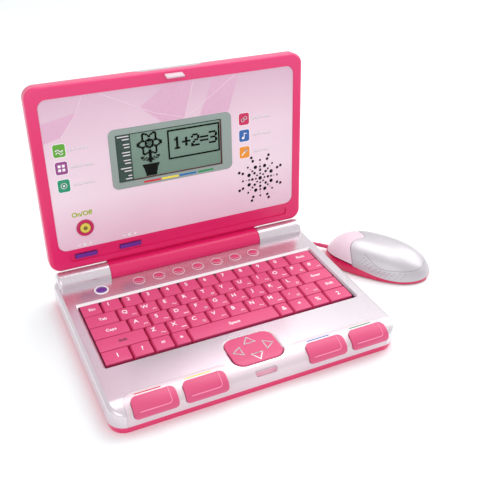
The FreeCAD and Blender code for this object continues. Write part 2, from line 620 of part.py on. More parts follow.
# ---------------------------------------------------------------- mouse, nose along +x in its own frame

def to_mouse(shape):
    shape = shape.copy()
    shape.rotate(V(0, 0, 0), Z_AXIS, MOUSE_TURN)
    shape.translate(V(MOUSE_X, MOUSE_Y, 0))
    return shape


def mouse_section(t, inset):
    """Cross-section at t, 0 at the nose and 1 at the tail."""
    full = math.sqrt(1 - abs(2 * t - 1) ** MOUSE_POWER)
    k = (MOUSE_CREST - t) / MOUSE_CREST if t < MOUSE_CREST else (t - MOUSE_CREST) / (1 - MOUSE_CREST)
    w = MOUSE_W / 2 * full - inset
    h = MOUSE_H * math.sqrt(1 - k ** 2.2) - inset
    z0 = MOUSE_FLOOR + inset
    x = MOUSE_LEN / 2 - t * MOUSE_LEN
    steps = 12
    pts = []
    for i in range(steps + 1):
        a = math.pi * i / steps
        c, s = math.cos(a), math.sin(a)
        pts.append(V(x, w * math.copysign(abs(c) ** 0.8, c), z0 + max(h - z0, 1.0) * s ** 0.85))
    arch = Part.BSplineCurve()
    arch.interpolate(pts)
    return Part.Wire([arch.toShape(), line(pts[-1], pts[0])])


def mouse_form(inset):
    first = 0.012 if inset == 0 else 0.05
    stations = [first, 0.04, 0.09, 0.17, 0.28, 0.4, 0.52, 0.64, 0.76, 0.86, 0.93, 0.97, 1 - first]
    stations = [t for t in stations if first <= t <= 1 - first]
    return Part.makeLoft([mouse_section(t, inset) for t in stations], True, False)


def wave_below(drop):
    """Everything below the wavy joint between the mouse's two shells."""
    xs = [(70, 6.0), (50, 8.6), (34, 10.6), (16, 9.6), (-4, 6.0), (-24, 3.6), (-46, 3.6), (-70, 5.0)]
    curve = Part.BSplineCurve()
    curve.interpolate([V(x, -60, z - drop) for x, z in xs])
    a, b = V(xs[0][0], -60, xs[0][1] - drop), V(xs[-1][0], -60, xs[-1][1] - drop)
    c, d = V(b.x, -60, -20), V(a.x, -60, -20)
    edges = [curve.toShape(), line(b, c), line(c, d), line(d, a)]
    return Part.Face(Part.Wire(edges)).extrude(V(0, 120, 0))


def front_region(gap):
    """Everything in front of the curved joint behind the mouse's button."""
    half = [(17, 60), (19, 30), (25.8, 17), (24, 9)]
    pts = [V(x + gap, -y, 0) for x, y in half] + [V(16 + gap, 0, 0)]
    pts += [V(x + gap, y, 0) for x, y in half[::-1]]
    curve = Part.BSplineCurve()
    curve.interpolate(pts)
    a, b = V(90, 60, 0), V(90, -60, 0)
    edges = [curve.toShape(), line(pts[-1], a), line(a, b), line(b, pts[0])]
    return Part.Face(Part.Wire(edges)).extrude(V(0, 0, 60))


def make_mouse_shells():
    """Lower shell, upper shell and button, cut from one hollow form."""
    form = mouse_form(0)
    hollow = form.cut(mouse_form(MOUSE_WALL))
    below = wave_below(0)
    lower = hollow.common(wave_below(SEAM / 2))
    lower = lower.cut(cylinder(15.2, BALL_X, 0, 0, 6))
    lower = lower.cut(Part.makeCylinder(RELIEF_R + 0.1, 20, V(RELIEF_X - 8, 0, RELIEF_Z), X_AXIS))
    upper = hollow.cut(wave_below(-SEAM / 2)).cut(front_region(0))
    button = hollow.cut(wave_below(-BUTTON_GAP)).common(front_region(MOUSE_GAP))
    return lower, upper, button


def make_mouse_ball_ring():
    ring = cylinder(15.0, BALL_X, 0, MOUSE_FLOOR, MOUSE_FLOOR + MOUSE_WALL)
    ring = ring.cut(cylinder(8.4, BALL_X, 0, 0, 6))
    for y in (-12, 12):
        ring = ring.cut(rounded_prism(BALL_X - 3, BALL_X + 3, y - 0.8, y + 0.8, 0.7, 0, MOUSE_FLOOR + 0.6))
    return ring


def make_mouse_rollers():
    """Two grooved axles that the ball turns."""
    reach, z = BALL_R + 2.3, BALL_R
    axle = Part.makeCylinder(2.0, 16, V(0, -8, 0), Y_AXIS)
    for y in (-8, 6.6):
        axle = axle.fuse(Part.makeCylinder(3.4, 1.4, V(0, y, 0), Y_AXIS))
    axle = axle.removeSplitter()
    rollers = []
    for turn in (0, 90):
        one = axle.copy()
        one.translate(V(reach, 0, z))
        one.rotate(V(0, 0, 0), Z_AXIS, turn)
        one.translate(V(BALL_X, 0, 0))
        rollers.append(one)
    return Part.makeCompound(rollers)


def make_mouse_board():
    board = rounded_prism(-40, 38, -21, 21, 4, 4.4, 5.8).cut(cylinder(18.2, BALL_X, 0, 0, 20))
    for dx, dy, w, d, h in ((-26, 0, 14, 8, 2.0), (-14, 11, 6, 6, 3.0), (34.5, 0, 5, 7, 7.0)):
        board = board.fuse(box(dx - w / 2, dx + w / 2, dy - d / 2, dy + d / 2, 5.7, 5.8 + h))
    return board.removeSplitter()


def make_mouse_feet():
    return Part.makeCompound([rounded_prism(x - 3, x + 3, -11, 11, 2.8, 0, MOUSE_FLOOR) for x in (-41, 38)])


def make_mouse_relief():
    relief = Part.makeCone(RELIEF_R, 2.1, RELIEF_LEN, V(RELIEF_X, 0, RELIEF_Z), X_AXIS)
    for i in range(3):
        x = RELIEF_X + 7.4 + 2.2 * i
        groove = Part.makeCylinder(4, 0.8, V(x, 0, RELIEF_Z), X_AXIS).cut(
            Part.makeCylinder(2.0, 0.8, V(x, 0, RELIEF_Z), X_AXIS))
        relief = relief.cut(groove)
    return relief


# ---------------------------------------------------------------- mouse cord, plug and socket

def cord_tube(route):
    """Round tube along straight runs joined by tangent arcs; returns it with its arc radii."""
    pts = [V(*p) for p in route]
    edges, radii, last = [], [], pts[0]
    length = 0.0
    for before, here, after in zip(pts[:-2], pts[1:-1], pts[2:]):
        a, b = here - before, after - here
        run = 0.45 * min(a.Length, b.Length)
        half_turn = a.getAngle(b) / 2
        radius = run / math.tan(half_turn)
        ua, ub = V(a).normalize(), V(b).normalize()
        start, end = here - ua * run, here + ub * run
        inward = (ub - ua).normalize()
        middle = here + inward * (radius / math.cos(half_turn) - radius)
        edges += [line(last, start), arc(start, middle, end)]
        length += (start - last).Length + 2 * half_turn * radius
        radii.append(radius)
        last = end
    edges.append(line(last, pts[-1]))
    length += (pts[-1] - last).Length
    section = Part.Wire(Part.Circle(pts[0], pts[1] - pts[0], CORD_R).toShape())
    tube = Part.Wire(edges).makePipeShell([section], True, False)
    print("cord stretch: length %.1f, volume ratio %.4f, radii %s" % (
        length, tube.Volume / (length * math.pi * CORD_R ** 2), [round(r, 1) for r in radii]))
    return tube


def make_coil():
    """The wound part of the cord, as one ring."""
    r = 1.7
    face = Part.Face(rounded_wire(COIL_IN, COIL_OUT, 0, COIL_H, r, 0))
    face.rotate(V(0, 0, 0), X_AXIS, 90)
    coil = face.revolve(V(0, 0, 0), Z_AXIS, 360)
    coil.translate(V(COIL_X, COIL_Y, 0))
    return coil


def make_socket():
    """Jack in the rear wall, with a flange outside."""
    barrel = Part.makeCylinder(4.1, BASE_REAR + 1 - SOCKET_IN, V(SOCKET_X, SOCKET_IN, SOCKET_Z), Y_AXIS)
    flange = Part.makeCylinder(5.4, 1.0, V(SOCKET_X, BASE_REAR + 0.1, SOCKET_Z), Y_AXIS)
    bore = Part.makeCylinder(1.85, 20, V(SOCKET_X, SOCKET_IN - 1, SOCKET_Z), Y_AXIS)
    return barrel.fuse(flange).cut(bore).removeSplitter()


def make_plug():
    """Plug with a grip and a tapered strain relief."""
    y = BASE_REAR + 1.2
    pin = Part.makeCylinder(1.75, y + 0.5 - SOCKET_IN, V(SOCKET_X, SOCKET_IN, SOCKET_Z), Y_AXIS)
    grip = Part.makeCylinder(4.4, 12, V(SOCKET_X, y, SOCKET_Z), Y_AXIS)
    grip = grip.makeFillet(0.8, [e for e in grip.Edges if e.Closed])
    for i in range(4):
        gy = y + 2.6 + 2.0 * i
        cut = Part.makeCylinder(6, 0.8, V(SOCKET_X, gy, SOCKET_Z), Y_AXIS).cut(
            Part.makeCylinder(4.0, 0.8, V(SOCKET_X, gy, SOCKET_Z), Y_AXIS))
        grip = grip.cut(cut)
    relief = Part.makeCone(3.0, 2.1, PLUG_END_Y - y - 11.5, V(SOCKET_X, y + 11.5, SOCKET_Z), Y_AXIS)
    return fuse([grip, pin, relief])


# ---------------------------------------------------------------- assembly

def base_parts():
    outer = base_outer()
    region = trim_region(-104)
    parts = {
        "upper_case": make_upper_case(outer, region.makeOffset2D(SEAM).extrude(V(0, 0, 60))),
        "front_trim": make_front_trim(base_form(0, SPLIT_Z + SEAM), region.extrude(V(0, 0, 60))),
        "lower_case": make_lower_case(),
        "latch_catch": make_latch_catch(),
        "battery_door": make_battery_door(),
        "batteries": make_batteries(),
        "battery_contacts": make_battery_contacts(),
        "main_board": make_main_board(),
        "button_board": make_button_board(),
        "key_dome_mat": make_dome_mat(key_rows()),
        "base_screws": Part.makeCompound([screw(x, y, 1.6, 14.0) for x, y in base_screw_places()]),
        "base_feet": Part.makeCompound([cylinder(6.0, x, y, 0, 2.0) for x, y in FOOT_PLACES]),
        "direction_pad": make_direction_pad(),
        "mode_buttons": Part.makeCompound([make_dome_button(MODE_R, x, y, 26.2) for x, y in mode_places()]),
        "round_button": make_dome_button(ROUND_R, ROUND_X, ROUND_Y, 26.3),
        "mouse_socket": make_socket(),
        "mouse_plug": make_plug(),
        "cord_lead": cord_tube(LEAD_ROUTE),
        "cord_coil": make_coil(),
        "mouse_cord": cord_tube(CORD_ROUTE),
    }
    collar = cylinder(ROUND_R + 2.0, ROUND_X, ROUND_Y, DECK_Z - 3, DECK_Z + 0.5)
    collar = collar.makeFillet(0.4, [e for e in collar.Edges if e.BoundBox.ZMin > DECK_Z])
    parts["round_button_collar"] = collar.cut(cylinder(ROUND_R + 0.35, ROUND_X, ROUND_Y, 0, 40))
    for i, x in enumerate(FRONT_BUTTON_X):
        parts["front_button_%d" % (i + 1)] = make_front_button(x)
    return parts


def key_parts():
    rows = key_rows()
    caps = [[make_key(row, a, b) for a, b in keys] for row, keys in enumerate(rows)]
    single = {"enter_key": caps[2].pop(-1), "player_2_key": caps[4].pop(-1), "player_1_key": caps[4].pop(0),
              "space_bar": caps[4].pop(3)}
    banks = ["number_row_keys", "top_letter_keys", "home_letter_keys", "low_letter_keys", "function_keys"]
    single.update({name: Part.makeCompound(row) for name, row in zip(banks, caps)})
    return single


def lid_parts():
    parts = {
        "lid_front_frame": make_lid_front_frame(),
        "lid_back_cover": make_lid_back_cover(),
        "face_panel": make_face_panel(),
        "display_frame": make_display_frame(),
        "display_lens": rounded_prism(*grow(WINDOW, -0.1), -1.5, -0.5),
        "display_module": make_display_module(),
        "display_board": make_board(-52, 40, 84, 122, -9.6, [(-20, 100, 16, 16, 1.2), (18, 104, 10, 8, 1.2)]),
        "ribbon_cable": box(-30, -14, AXIS_S + 2, 84.2, -7.4, -7.0),
        "speaker": make_speaker(),
        "power_button_ring": make_power_ring(),
        "power_button": make_power_button(),
        "contrast_rocker": make_rocker(*rocker_places()[0]),
        "volume_rocker": make_rocker(*rocker_places()[1]),
        "latch_hook": make_latch_hook(),
        "hinge_pins": make_hinge_pins(),
        "barrel_plugs": make_barrel_plugs(),
        "lid_screws": Part.makeCompound(make_lid_screws()),
    }
    return {name: to_lid(shape) for name, shape in parts.items()}


def mouse_parts():
    lower, upper, button = make_mouse_shells()
    parts = {
        "mouse_lower_shell": lower,
        "mouse_upper_shell": upper,
        "mouse_button": button,
        "mouse_board": make_mouse_board(),
        "mouse_ball": Part.makeSphere(BALL_R, V(BALL_X, 0, BALL_R)),
        "mouse_ball_ring": make_mouse_ball_ring(),
        "mouse_rollers": make_mouse_rollers(),
        "mouse_feet": make_mouse_feet(),
        "mouse_strain_relief": make_mouse_relief(),
    }
    return {name: to_mouse(shape) for name, shape in parts.items()}


os.makedirs("parts", exist_ok=True)
everything = {**base_parts(), **key_parts(), **lid_parts(), **mouse_parts()}
for name, shape in everything.items():
    export(shape, name)
    print("%-20s solids %d, valid %s" % (name, len(shape.Solids), shape.isValid()))
print(len(everything), "sub-parts")
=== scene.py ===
import json
import math

import bmesh
import bpy
from mathutils import Matrix, Vector
from mathutils.bvhtree import BVHTree
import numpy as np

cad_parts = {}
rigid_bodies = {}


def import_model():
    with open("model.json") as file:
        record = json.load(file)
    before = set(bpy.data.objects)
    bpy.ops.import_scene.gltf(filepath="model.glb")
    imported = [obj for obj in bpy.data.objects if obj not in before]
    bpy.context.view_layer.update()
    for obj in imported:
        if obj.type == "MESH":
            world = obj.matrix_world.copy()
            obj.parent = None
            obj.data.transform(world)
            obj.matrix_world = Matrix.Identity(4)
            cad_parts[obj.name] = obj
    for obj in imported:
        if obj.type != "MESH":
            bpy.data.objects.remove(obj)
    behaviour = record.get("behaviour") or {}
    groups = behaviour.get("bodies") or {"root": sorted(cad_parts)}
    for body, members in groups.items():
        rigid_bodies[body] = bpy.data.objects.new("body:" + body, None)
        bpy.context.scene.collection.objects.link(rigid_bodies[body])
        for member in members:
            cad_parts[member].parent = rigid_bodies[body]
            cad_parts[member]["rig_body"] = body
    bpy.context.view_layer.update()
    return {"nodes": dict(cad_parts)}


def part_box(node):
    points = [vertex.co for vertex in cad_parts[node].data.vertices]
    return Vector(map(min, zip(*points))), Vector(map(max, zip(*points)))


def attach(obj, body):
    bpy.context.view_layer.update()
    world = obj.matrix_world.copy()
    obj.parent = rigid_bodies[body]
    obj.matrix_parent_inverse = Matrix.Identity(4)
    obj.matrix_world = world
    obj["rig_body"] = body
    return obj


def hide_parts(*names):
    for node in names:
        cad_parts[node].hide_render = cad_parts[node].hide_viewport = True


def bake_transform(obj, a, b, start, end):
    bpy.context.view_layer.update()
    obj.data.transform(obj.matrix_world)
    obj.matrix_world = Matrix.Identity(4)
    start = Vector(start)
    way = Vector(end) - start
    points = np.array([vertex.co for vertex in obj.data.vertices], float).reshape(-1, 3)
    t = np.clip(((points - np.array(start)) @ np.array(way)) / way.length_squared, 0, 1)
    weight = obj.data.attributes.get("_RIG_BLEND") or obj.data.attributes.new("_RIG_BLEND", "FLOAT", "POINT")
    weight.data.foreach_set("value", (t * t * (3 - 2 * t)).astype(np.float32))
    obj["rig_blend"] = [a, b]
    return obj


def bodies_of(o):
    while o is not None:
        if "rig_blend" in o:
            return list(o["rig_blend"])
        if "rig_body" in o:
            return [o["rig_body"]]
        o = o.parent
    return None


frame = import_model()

# ---------------------------------------------------------------- sizes (mm unless said otherwise)
MM = 0.001

CAMERA_PLACE = (-220.0, -494.2, 430.8)
CAMERA_AZIMUTH, CAMERA_ELEVATION, CAMERA_ROLL = -25.95, 32.01, 1.21    # degrees
CAMERA_LENS = 53.96

INK = 0.06                # thickness of a print
LID_LEAN = math.radians(5.34)
LID_FOOT = Vector((0.0, 87.66, 37.15))
PANEL_N = -0.5            # faces of the lid's layers, out of its front plane
BEZEL_N = -0.1
LCD_N = -1.6
POWER_N = 0.9

DECK_Z = 25.0             # upper face of the base
WELL_HALF_W, WELL_REAR = 123.6, 46.8
KEY_SLOPE = math.atan2(0.7, 16.5)       # a key's top falls 0.7 mm in its depth
KEY_TOP_MID = 23.95

# The front of the deck bends down in two arcs, the first of which turns by NOSE_TURN1.
NOSE_BEND_Y, NOSE_R1, NOSE_TURN1, NOSE_R2 = -83.5, 26.0, math.radians(30.0), 7.0
BUTTON_PROUD = 1.5        # front buttons, out of that curve
PAD_CORNER = 9.0

MOUSE_CENTRE = Vector((196.0, 23.0, 0.0))
MOUSE_TURN = math.radians(130.5)        # from x to the way its nose points

AXIS = (86.0, 26.3)       # hinge axis, y and z
PLUG_X, PLUG_ANGLE = (-52.0, 0.0, 52.0), -28.0

CORD_R = 1.75
LEAD_ROUTE = [(30.0, 126.0, 12.5), (30.0, 136.5, 10.0), (33.5, 147.0, 4.4), (43.0, 154.3, 1.9),
              (56.0, 156.4, 1.75), (69.0, 153.9, 1.75)]
CORD_ROUTE = [(104.0, 138.5, 4.6), (110.5, 131.3, 2.2), (117.0, 121.8, 1.75), (128.8, 110.2, 1.8),
              (138.6, 96.4, 2.7), (145.4, 82.3, 5.3), (153.04, 73.31, 6.0)]
COIL_CENTRE = (81.5, 131.7)
COIL_INNER, COIL_OUTER = 17.75, 21.25
COIL_LOW, COIL_HIGH = 1.75, 5.25
COIL_START, COIL_END = 90.0, 42.0       # degrees
TURN_POINTS = 16


# ---------------------------------------------------------------- colours and materials

def linear(colour):
    """Linear RGBA of an 8-bit sRGB colour."""
    parts = [c / 255 for c in colour]
    return [c / 12.92 if c < 0.04045 else ((c + 0.055) / 1.055) ** 2.4 for c in parts] + [1.0]


def scaled(colour, factor):
    return [min(1.0, c * factor) for c in colour[:3]] + [1.0]


WHITE = [1, 1, 1, 1]


class Surface:
    """A Principled material with the nodes that vary it."""

    def __init__(self, name):
        self.material = bpy.data.materials.new(name)
        self.material.use_nodes = True
        self.tree = self.material.node_tree
        self.shader = self.tree.nodes["Principled BSDF"]
        coordinates = self.tree.nodes.new("ShaderNodeTexCoord")
        self.place = coordinates.outputs["Object"]

    def set(self, **values):
        for name, value in values.items():
            self.shader.inputs[name.replace("_", " ")].default_value = value
        return self

    def noise(self, scale, detail=2.0, stretch=(1, 1, 1)):
        mapping = self.tree.nodes.new("ShaderNodeMapping")
        mapping.inputs["Scale"].default_value = stretch
        self.tree.links.new(self.place, mapping.inputs["Vector"])
        node = self.tree.nodes.new("ShaderNodeTexNoise")
        node.inputs["Scale"].default_value = scale
        node.inputs["Detail"].default_value = detail
        self.tree.links.new(mapping.outputs["Vector"], node.inputs["Vector"])
        return node.outputs["Fac"]

    def ramp(self, factor, stops):
        """Colour from a factor, by (position, colour) stops."""
        node = self.tree.nodes.new("ShaderNodeValToRGB")
        elements = node.color_ramp.elements
        while len(elements) < len(stops):
            elements.new(0.5)
        for element, (position, colour) in zip(elements, stops):
            element.position = position
            element.color = colour
        self.tree.links.new(factor, node.inputs["Fac"])
        return node.outputs["Color"]

    def span(self, value, low, high, to_low=0.0, to_high=1.0):
        node = self.tree.nodes.new("ShaderNodeMapRange")
        numbers = (low, high, to_low, to_high)
        for name, number in zip(("From Min", "From Max", "To Min", "To Max"), numbers):
            node.inputs[name].default_value = number
        self.tree.links.new(value, node.inputs["Value"])
        return node.outputs["Result"]

    def axis(self, letter):
        node = self.tree.nodes.new("ShaderNodeSeparateXYZ")
        self.tree.links.new(self.place, node.inputs["Vector"])
        return node.outputs[letter]

    def mix(self, factor, a, b, mode="MIX"):
        node = self.tree.nodes.new("ShaderNodeMix")
        node.data_type = "RGBA"
        node.blend_type = mode
        for socket, value in ((node.inputs[0], factor), (node.inputs[6], a), (node.inputs[7], b)):
            if isinstance(value, bpy.types.NodeSocket):
                self.tree.links.new(value, socket)
            else:
                socket.default_value = value
        return node.outputs[2]

    def colour(self, source):
        self.tree.links.new(source, self.shader.inputs["Base Color"])
        return self

    def roughness(self, source):
        self.tree.links.new(source, self.shader.inputs["Roughness"])
        return self

    def bump(self, height, strength, distance):
        node = self.tree.nodes.new("ShaderNodeBump")
        node.inputs["Strength"].default_value = strength
        node.inputs["Distance"].default_value = distance
        self.tree.links.new(height, node.inputs["Height"])
        self.tree.links.new(node.outputs["Normal"], self.shader.inputs["Normal"])
        return self


def moulded(name, colour, roughness=0.35, mottle=0.04, grain=0.12, coat=0.0, heights=None):
    """Injection-moulded plastic: faint flow variation, fine texture, uneven gloss.

    heights gives a second colour, and the two heights in mm between which the first takes over; the case and
    the keys use it for painted light and painted shade."""
    surface = Surface(name)
    base = linear(colour)
    flow = surface.noise(9.0, 1.0)
    tone = surface.ramp(flow, [(0.3, scaled(base, 1 - mottle)), (0.7, scaled(base, 1 + mottle))])
    if heights:
        other, low, high = heights
        share = surface.span(surface.axis("Z"), low * MM, high * MM)
        tone = surface.mix(share, linear(other), tone)
    surface.colour(tone)
    fine = surface.noise(1900.0)
    gloss = surface.noise(30.0, 1.0)
    surface.roughness(surface.span(gloss, 0.3, 0.7, roughness - 0.03, roughness + 0.03))
    surface.bump(fine, grain, 0.00006)
    surface.set(Coat_Weight=coat, Coat_Roughness=0.12)
    return surface.material


def painted(name, colour, tint, metallic, gloss):
    """Silver paint: fine flakes in a soft, slightly warm or cool base."""
    surface = Surface(name)
    base = surface.ramp(surface.noise(9.0), [(0.3, linear(colour)), (0.7, linear(tint))])
    darker = [0.93, 0.93, 0.93, 1]
    flakes = surface.ramp(surface.noise(3200.0, 1.0), [(0.35, darker), (0.65, WHITE)])
    surface.colour(surface.mix(1.0, base, flakes, "MULTIPLY"))
    sheen = surface.noise(2600.0, 1.0)
    surface.roughness(surface.span(sheen, 0.3, 0.7, gloss - 0.04, gloss + 0.05))
    surface.bump(surface.noise(2200.0), 0.06, 0.00004)
    surface.set(Metallic=metallic, Coat_Weight=0.25, Coat_Roughness=0.12)
    return surface.material


def printed_panel(name):
    """Face panel: a pale gradient up the lid, under a satin film."""
    surface = Surface(name)
    lo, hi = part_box("face_panel")
    height = surface.span(surface.axis("Z"), lo.z, hi.z)
    stops = [(0.0, linear((234, 198, 217))), (0.35, linear((242, 222, 234))),
             (0.62, linear((238, 214, 228))), (1.0, linear((220, 184, 204)))]
    cloud = surface.ramp(surface.noise(11.0, 2.0), [(0.3, [0.95, 0.93, 0.94, 1]), (0.7, WHITE)])
    surface.colour(surface.mix(1.0, surface.ramp(height, stops), cloud, "MULTIPLY"))
    surface.bump(surface.noise(1500.0), 0.05, 0.00004)
    surface.set(Roughness=0.38, Coat_Weight=0.1, Coat_Roughness=0.2)
    return surface.material


def lcd_glass(name):
    """Reflective display: grey-green, a little darker towards its lower edge."""
    surface = Surface(name)
    lo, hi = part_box("display_module")
    height = surface.span(surface.axis("Z"), lo.z, hi.z)
    base = surface.ramp(height, [(0.0, linear((118, 150, 134))), (1.0, linear((134, 164, 148)))])
    grid = surface.ramp(surface.noise(2400.0, 1.0), [(0.3, [0.94, 0.95, 0.94, 1]), (0.7, WHITE)])
    surface.colour(surface.mix(1.0, base, grid, "MULTIPLY"))
    surface.set(Roughness=0.3)
    return surface.material


def clear_window(name):
    """Clear plastic: nearly all light passes, and what stays is a faint dark tint."""
    surface = Surface(name)
    tint = [(0.3, [0.04, 0.05, 0.04, 1]), (0.7, [0.06, 0.07, 0.06, 1])]
    surface.colour(surface.ramp(surface.noise(20.0), tint))
    surface.set(Roughness=0.10, Alpha=0.05, IOR=1.40)
    return surface.material


def circuit_board(name):
    """Green solder mask with faint tracks."""
    surface = Surface(name)
    tracks = surface.noise(260.0, 0.0, (1, 6, 1))
    mask, copper = linear((22, 92, 50)), linear((44, 128, 74))
    surface.colour(surface.ramp(tracks, [(0.46, mask), (0.52, copper)]))
    surface.bump(tracks, 0.2, 0.0001)
    surface.set(Roughness=0.35)
    return surface.material


def bare_metal(name, colour, roughness):
    """Brushed metal, its brush lines level."""
    surface = Surface(name)
    brushed = surface.noise(220.0, 3.0, (1, 1, 30))
    base = linear(colour)
    surface.colour(surface.ramp(brushed, [(0.3, scaled(base, 0.86)), (0.7, base)]))
    surface.roughness(surface.span(brushed, 0.3, 0.7, roughness - 0.08, roughness + 0.08))
    surface.bump(brushed, 0.1, 0.00004)
    surface.set(Metallic=1.0)
    return surface.material


def battery_wrap(name):
    """Cell in a two-colour sleeve."""
    surface = Surface(name)
    bands = surface.span(surface.axis("X"), -0.08, 0.08)
    dark, gold = linear((60, 62, 70)), linear((196, 150, 60))
    surface.colour(surface.ramp(bands, [(0.0, dark), (1.0, gold)]))
    surface.bump(surface.noise(900.0), 0.06, 0.00005)
    surface.set(Metallic=0.5, Roughness=0.3)
    return surface.material


def ink(name, colour, roughness=0.45, shine=0.5):
    """Pad-printed ink, also used as flat paint for painted highlights and shade, with a faintly uneven
    edge-to-edge density.
    """
    surface = Surface(name)
    base = linear(colour)
    density = surface.noise(600.0, 3.0)
    surface.colour(surface.ramp(density, [(0.3, scaled(base, 0.93)), (0.7, base)]))
    surface.bump(surface.noise(2500.0), 0.05, 0.00003)
    surface.set(Roughness=roughness, Specular_IOR_Level=shine)
    return surface.material


FINISH = {
    # Deeper pink below 150 mm and lighter towards the lid's top bar; the lighter top is painted light.
    "case_pink": moulded("case_pink", (228, 58, 118), 0.32, coat=0.12,
                         heights=((224, 24, 102), 150.0, 222.0)),
    "silver_paint": painted("silver_paint", (222, 210, 218), (230, 222, 228), 0.82, 0.25),
    "trim_pearl": painted("trim_pearl", (218, 199, 207), (226, 209, 216), 0.35, 0.36),
    # Keys go dark crimson below 23.3 mm, down their flanks: painted shade between the keys.
    "key_pink": moulded("key_pink", (213, 69, 119), 0.42, grain=0.2,
                        heights=((196, 8, 72), 19.5, 23.3)),
    "button_pink": moulded("button_pink", (213, 76, 121), 0.38, grain=0.15),
    "purple": moulded("purple", (104, 42, 148), 0.3),
    "white_plastic": moulded("white_plastic", (240, 238, 242), 0.35, 0.02),
    "panel_print": printed_panel("panel_print"),
    "bezel_grey": moulded("bezel_grey", (146, 162, 156), 0.4, 0.03),
    "clear_lens": clear_window("clear_lens"),
    "lcd": lcd_glass("lcd"),
    "power_ring": moulded("power_ring", (196, 30, 92), 0.3),
    "power_yellow": moulded("power_yellow", (224, 206, 84), 0.32),
    "mouse_crimson": moulded("mouse_crimson", (206, 14, 80), 0.3, coat=0.3),
    "mouse_pale": moulded("mouse_pale", (226, 202, 214), 0.36, 0.03),
    "cord_pink": moulded("cord_pink", (214, 66, 116), 0.5, grain=0.25),
    "rubber_grey": moulded("rubber_grey", (96, 96, 100), 0.75, grain=0.4),
    "silicone": moulded("silicone", (206, 202, 196), 0.6),
    "steel": bare_metal("steel", (190, 192, 196), 0.3),
    "board_green": circuit_board("board_green"),
    "battery": battery_wrap("battery"),
    "speaker_black": moulded("speaker_black", (26, 24, 26), 0.6, grain=0.4),
    "cable_grey": moulded("cable_grey", (150, 150, 154), 0.5),
}

INKS = {
    # White serves the prints and the painted highlights on the deck.
    "white": ink("white_print_and_highlight", (250, 246, 249)),
    "dark": ink("ink_dark", (44, 8, 40)),
    "grey": ink("ink_grey", (166, 148, 166)),
    # Pixel serves the display's dark pixels and a painted shadow under its top edge.
    "pixel": ink("lcd_pixel_and_shadow", (6, 9, 7), 0.8, 0.05),
    "lcd_band": ink("ink_lcd_band", (72, 92, 86), 0.8, 0.05),
    # Painted shade: dark crimson for the display window's shaded pink recess walls.
    "crimson_line": ink("crimson_recess_shade", (112, 8, 44), 0.7, 0.1),
    "red": ink("ink_red", (214, 30, 52)),
    "yellow": ink("ink_yellow", (248, 232, 70)),
    "blue": ink("ink_blue", (0, 112, 186)),
    "green": ink("ink_green", (0, 148, 82)),
    "leaf": ink("ink_leaf", (95, 170, 45)),
    "violet": ink("ink_violet", (150, 70, 140)),
    "teal": ink("ink_teal", (20, 150, 110)),
    "crimson": ink("ink_crimson", (205, 30, 90)),
    "sky": ink("ink_sky", (40, 100, 175)),
    "orange": ink("ink_orange", (240, 150, 30)),
    "lime": ink("ink_lime", (160, 186, 20)),
    "olive": ink("ink_olive", (120, 112, 40)),
    "shard": ink("ink_shard", (226, 180, 206)),
    "shard_line": ink("ink_shard_line", (244, 222, 234)),
    # Groove colours the mouse's seam line and the painted shade in its grip dimples.
    "groove": ink("seam_and_dimple_shade", (138, 126, 140), 0.6),
    # Painted highlight: the lighter pink of the front buttons' ridges.
    "ridge": ink("ink_ridge", (240, 136, 172), 0.35),
    "barrel_groove": ink("ink_barrel_groove", (150, 14, 66), 0.6),
}

OWN_FINISH = {      # nodes that look unlike the rest of their slot
    "mouse_upper_shell": painted("mouse_silver", (186, 178, 186), (198, 194, 199), 0.5, 0.4),
    "latch_catch": moulded("catch_pink", (244, 190, 208), 0.4),
}


def slot_of(node):
    """Name of the slot that the node's material stands for."""
    return node.material_slots[0].material.name.split(".")[0]


for name, node in frame["nodes"].items():
    node.material_slots[0].material = OWN_FINISH.get(name) or FINISH[slot_of(node)]


# ---------------------------------------------------------------- making pieces

def body_of(node):
    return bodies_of(frame["nodes"][node])[0]


def mesh_of(name, bm):
    """A mesh made from the bmesh, which is used up."""
    mesh = bpy.data.meshes.new(name)
    bm.to_mesh(mesh)
    bm.free()
    return mesh


def evaluated_mesh(curve):
    """What a curve or a text looks like as a mesh."""
    holder = bpy.data.objects.new(curve.name, curve)
    bpy.context.scene.collection.objects.link(holder)
    bpy.context.view_layer.update()
    depsgraph = bpy.context.evaluated_depsgraph_get()
    mesh = bpy.data.meshes.new_from_object(holder.evaluated_get(depsgraph))
    bpy.data.objects.remove(holder)
    return mesh


def angles_round(count):
    """A whole turn in radians, without its end."""
    return [2 * math.pi * i / count for i in range(count)]


def on_circle(x, y, r, angles):
    return [(x + r * math.cos(a), y + r * math.sin(a)) for a in angles]


def add_mesh(name, mesh, material, body):
    """Put a mesh in the scene as a piece that rides on a body."""
    mesh.materials.clear()
    mesh.materials.append(material)
    piece = bpy.data.objects.new(name, mesh)
    bpy.context.scene.collection.objects.link(piece)
    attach(piece, body)
    return piece


def in_lid(n):
    """Plane of the lid at n mm out of its front face: x along the hinge, y up the lid."""
    up = Vector((0, math.sin(LID_LEAN), math.cos(LID_LEAN)))
    out = Vector((0, -math.cos(LID_LEAN), math.sin(LID_LEAN)))
    place = LID_FOOT + out * n
    return Matrix(((1, 0, 0, place.x),
                   (0, up.y, out.y, place.y),
                   (0, up.z, out.z, place.z),
                   (0, 0, 0, 1)))


def on_deck(z):
    return Matrix.Translation((0, 0, z))


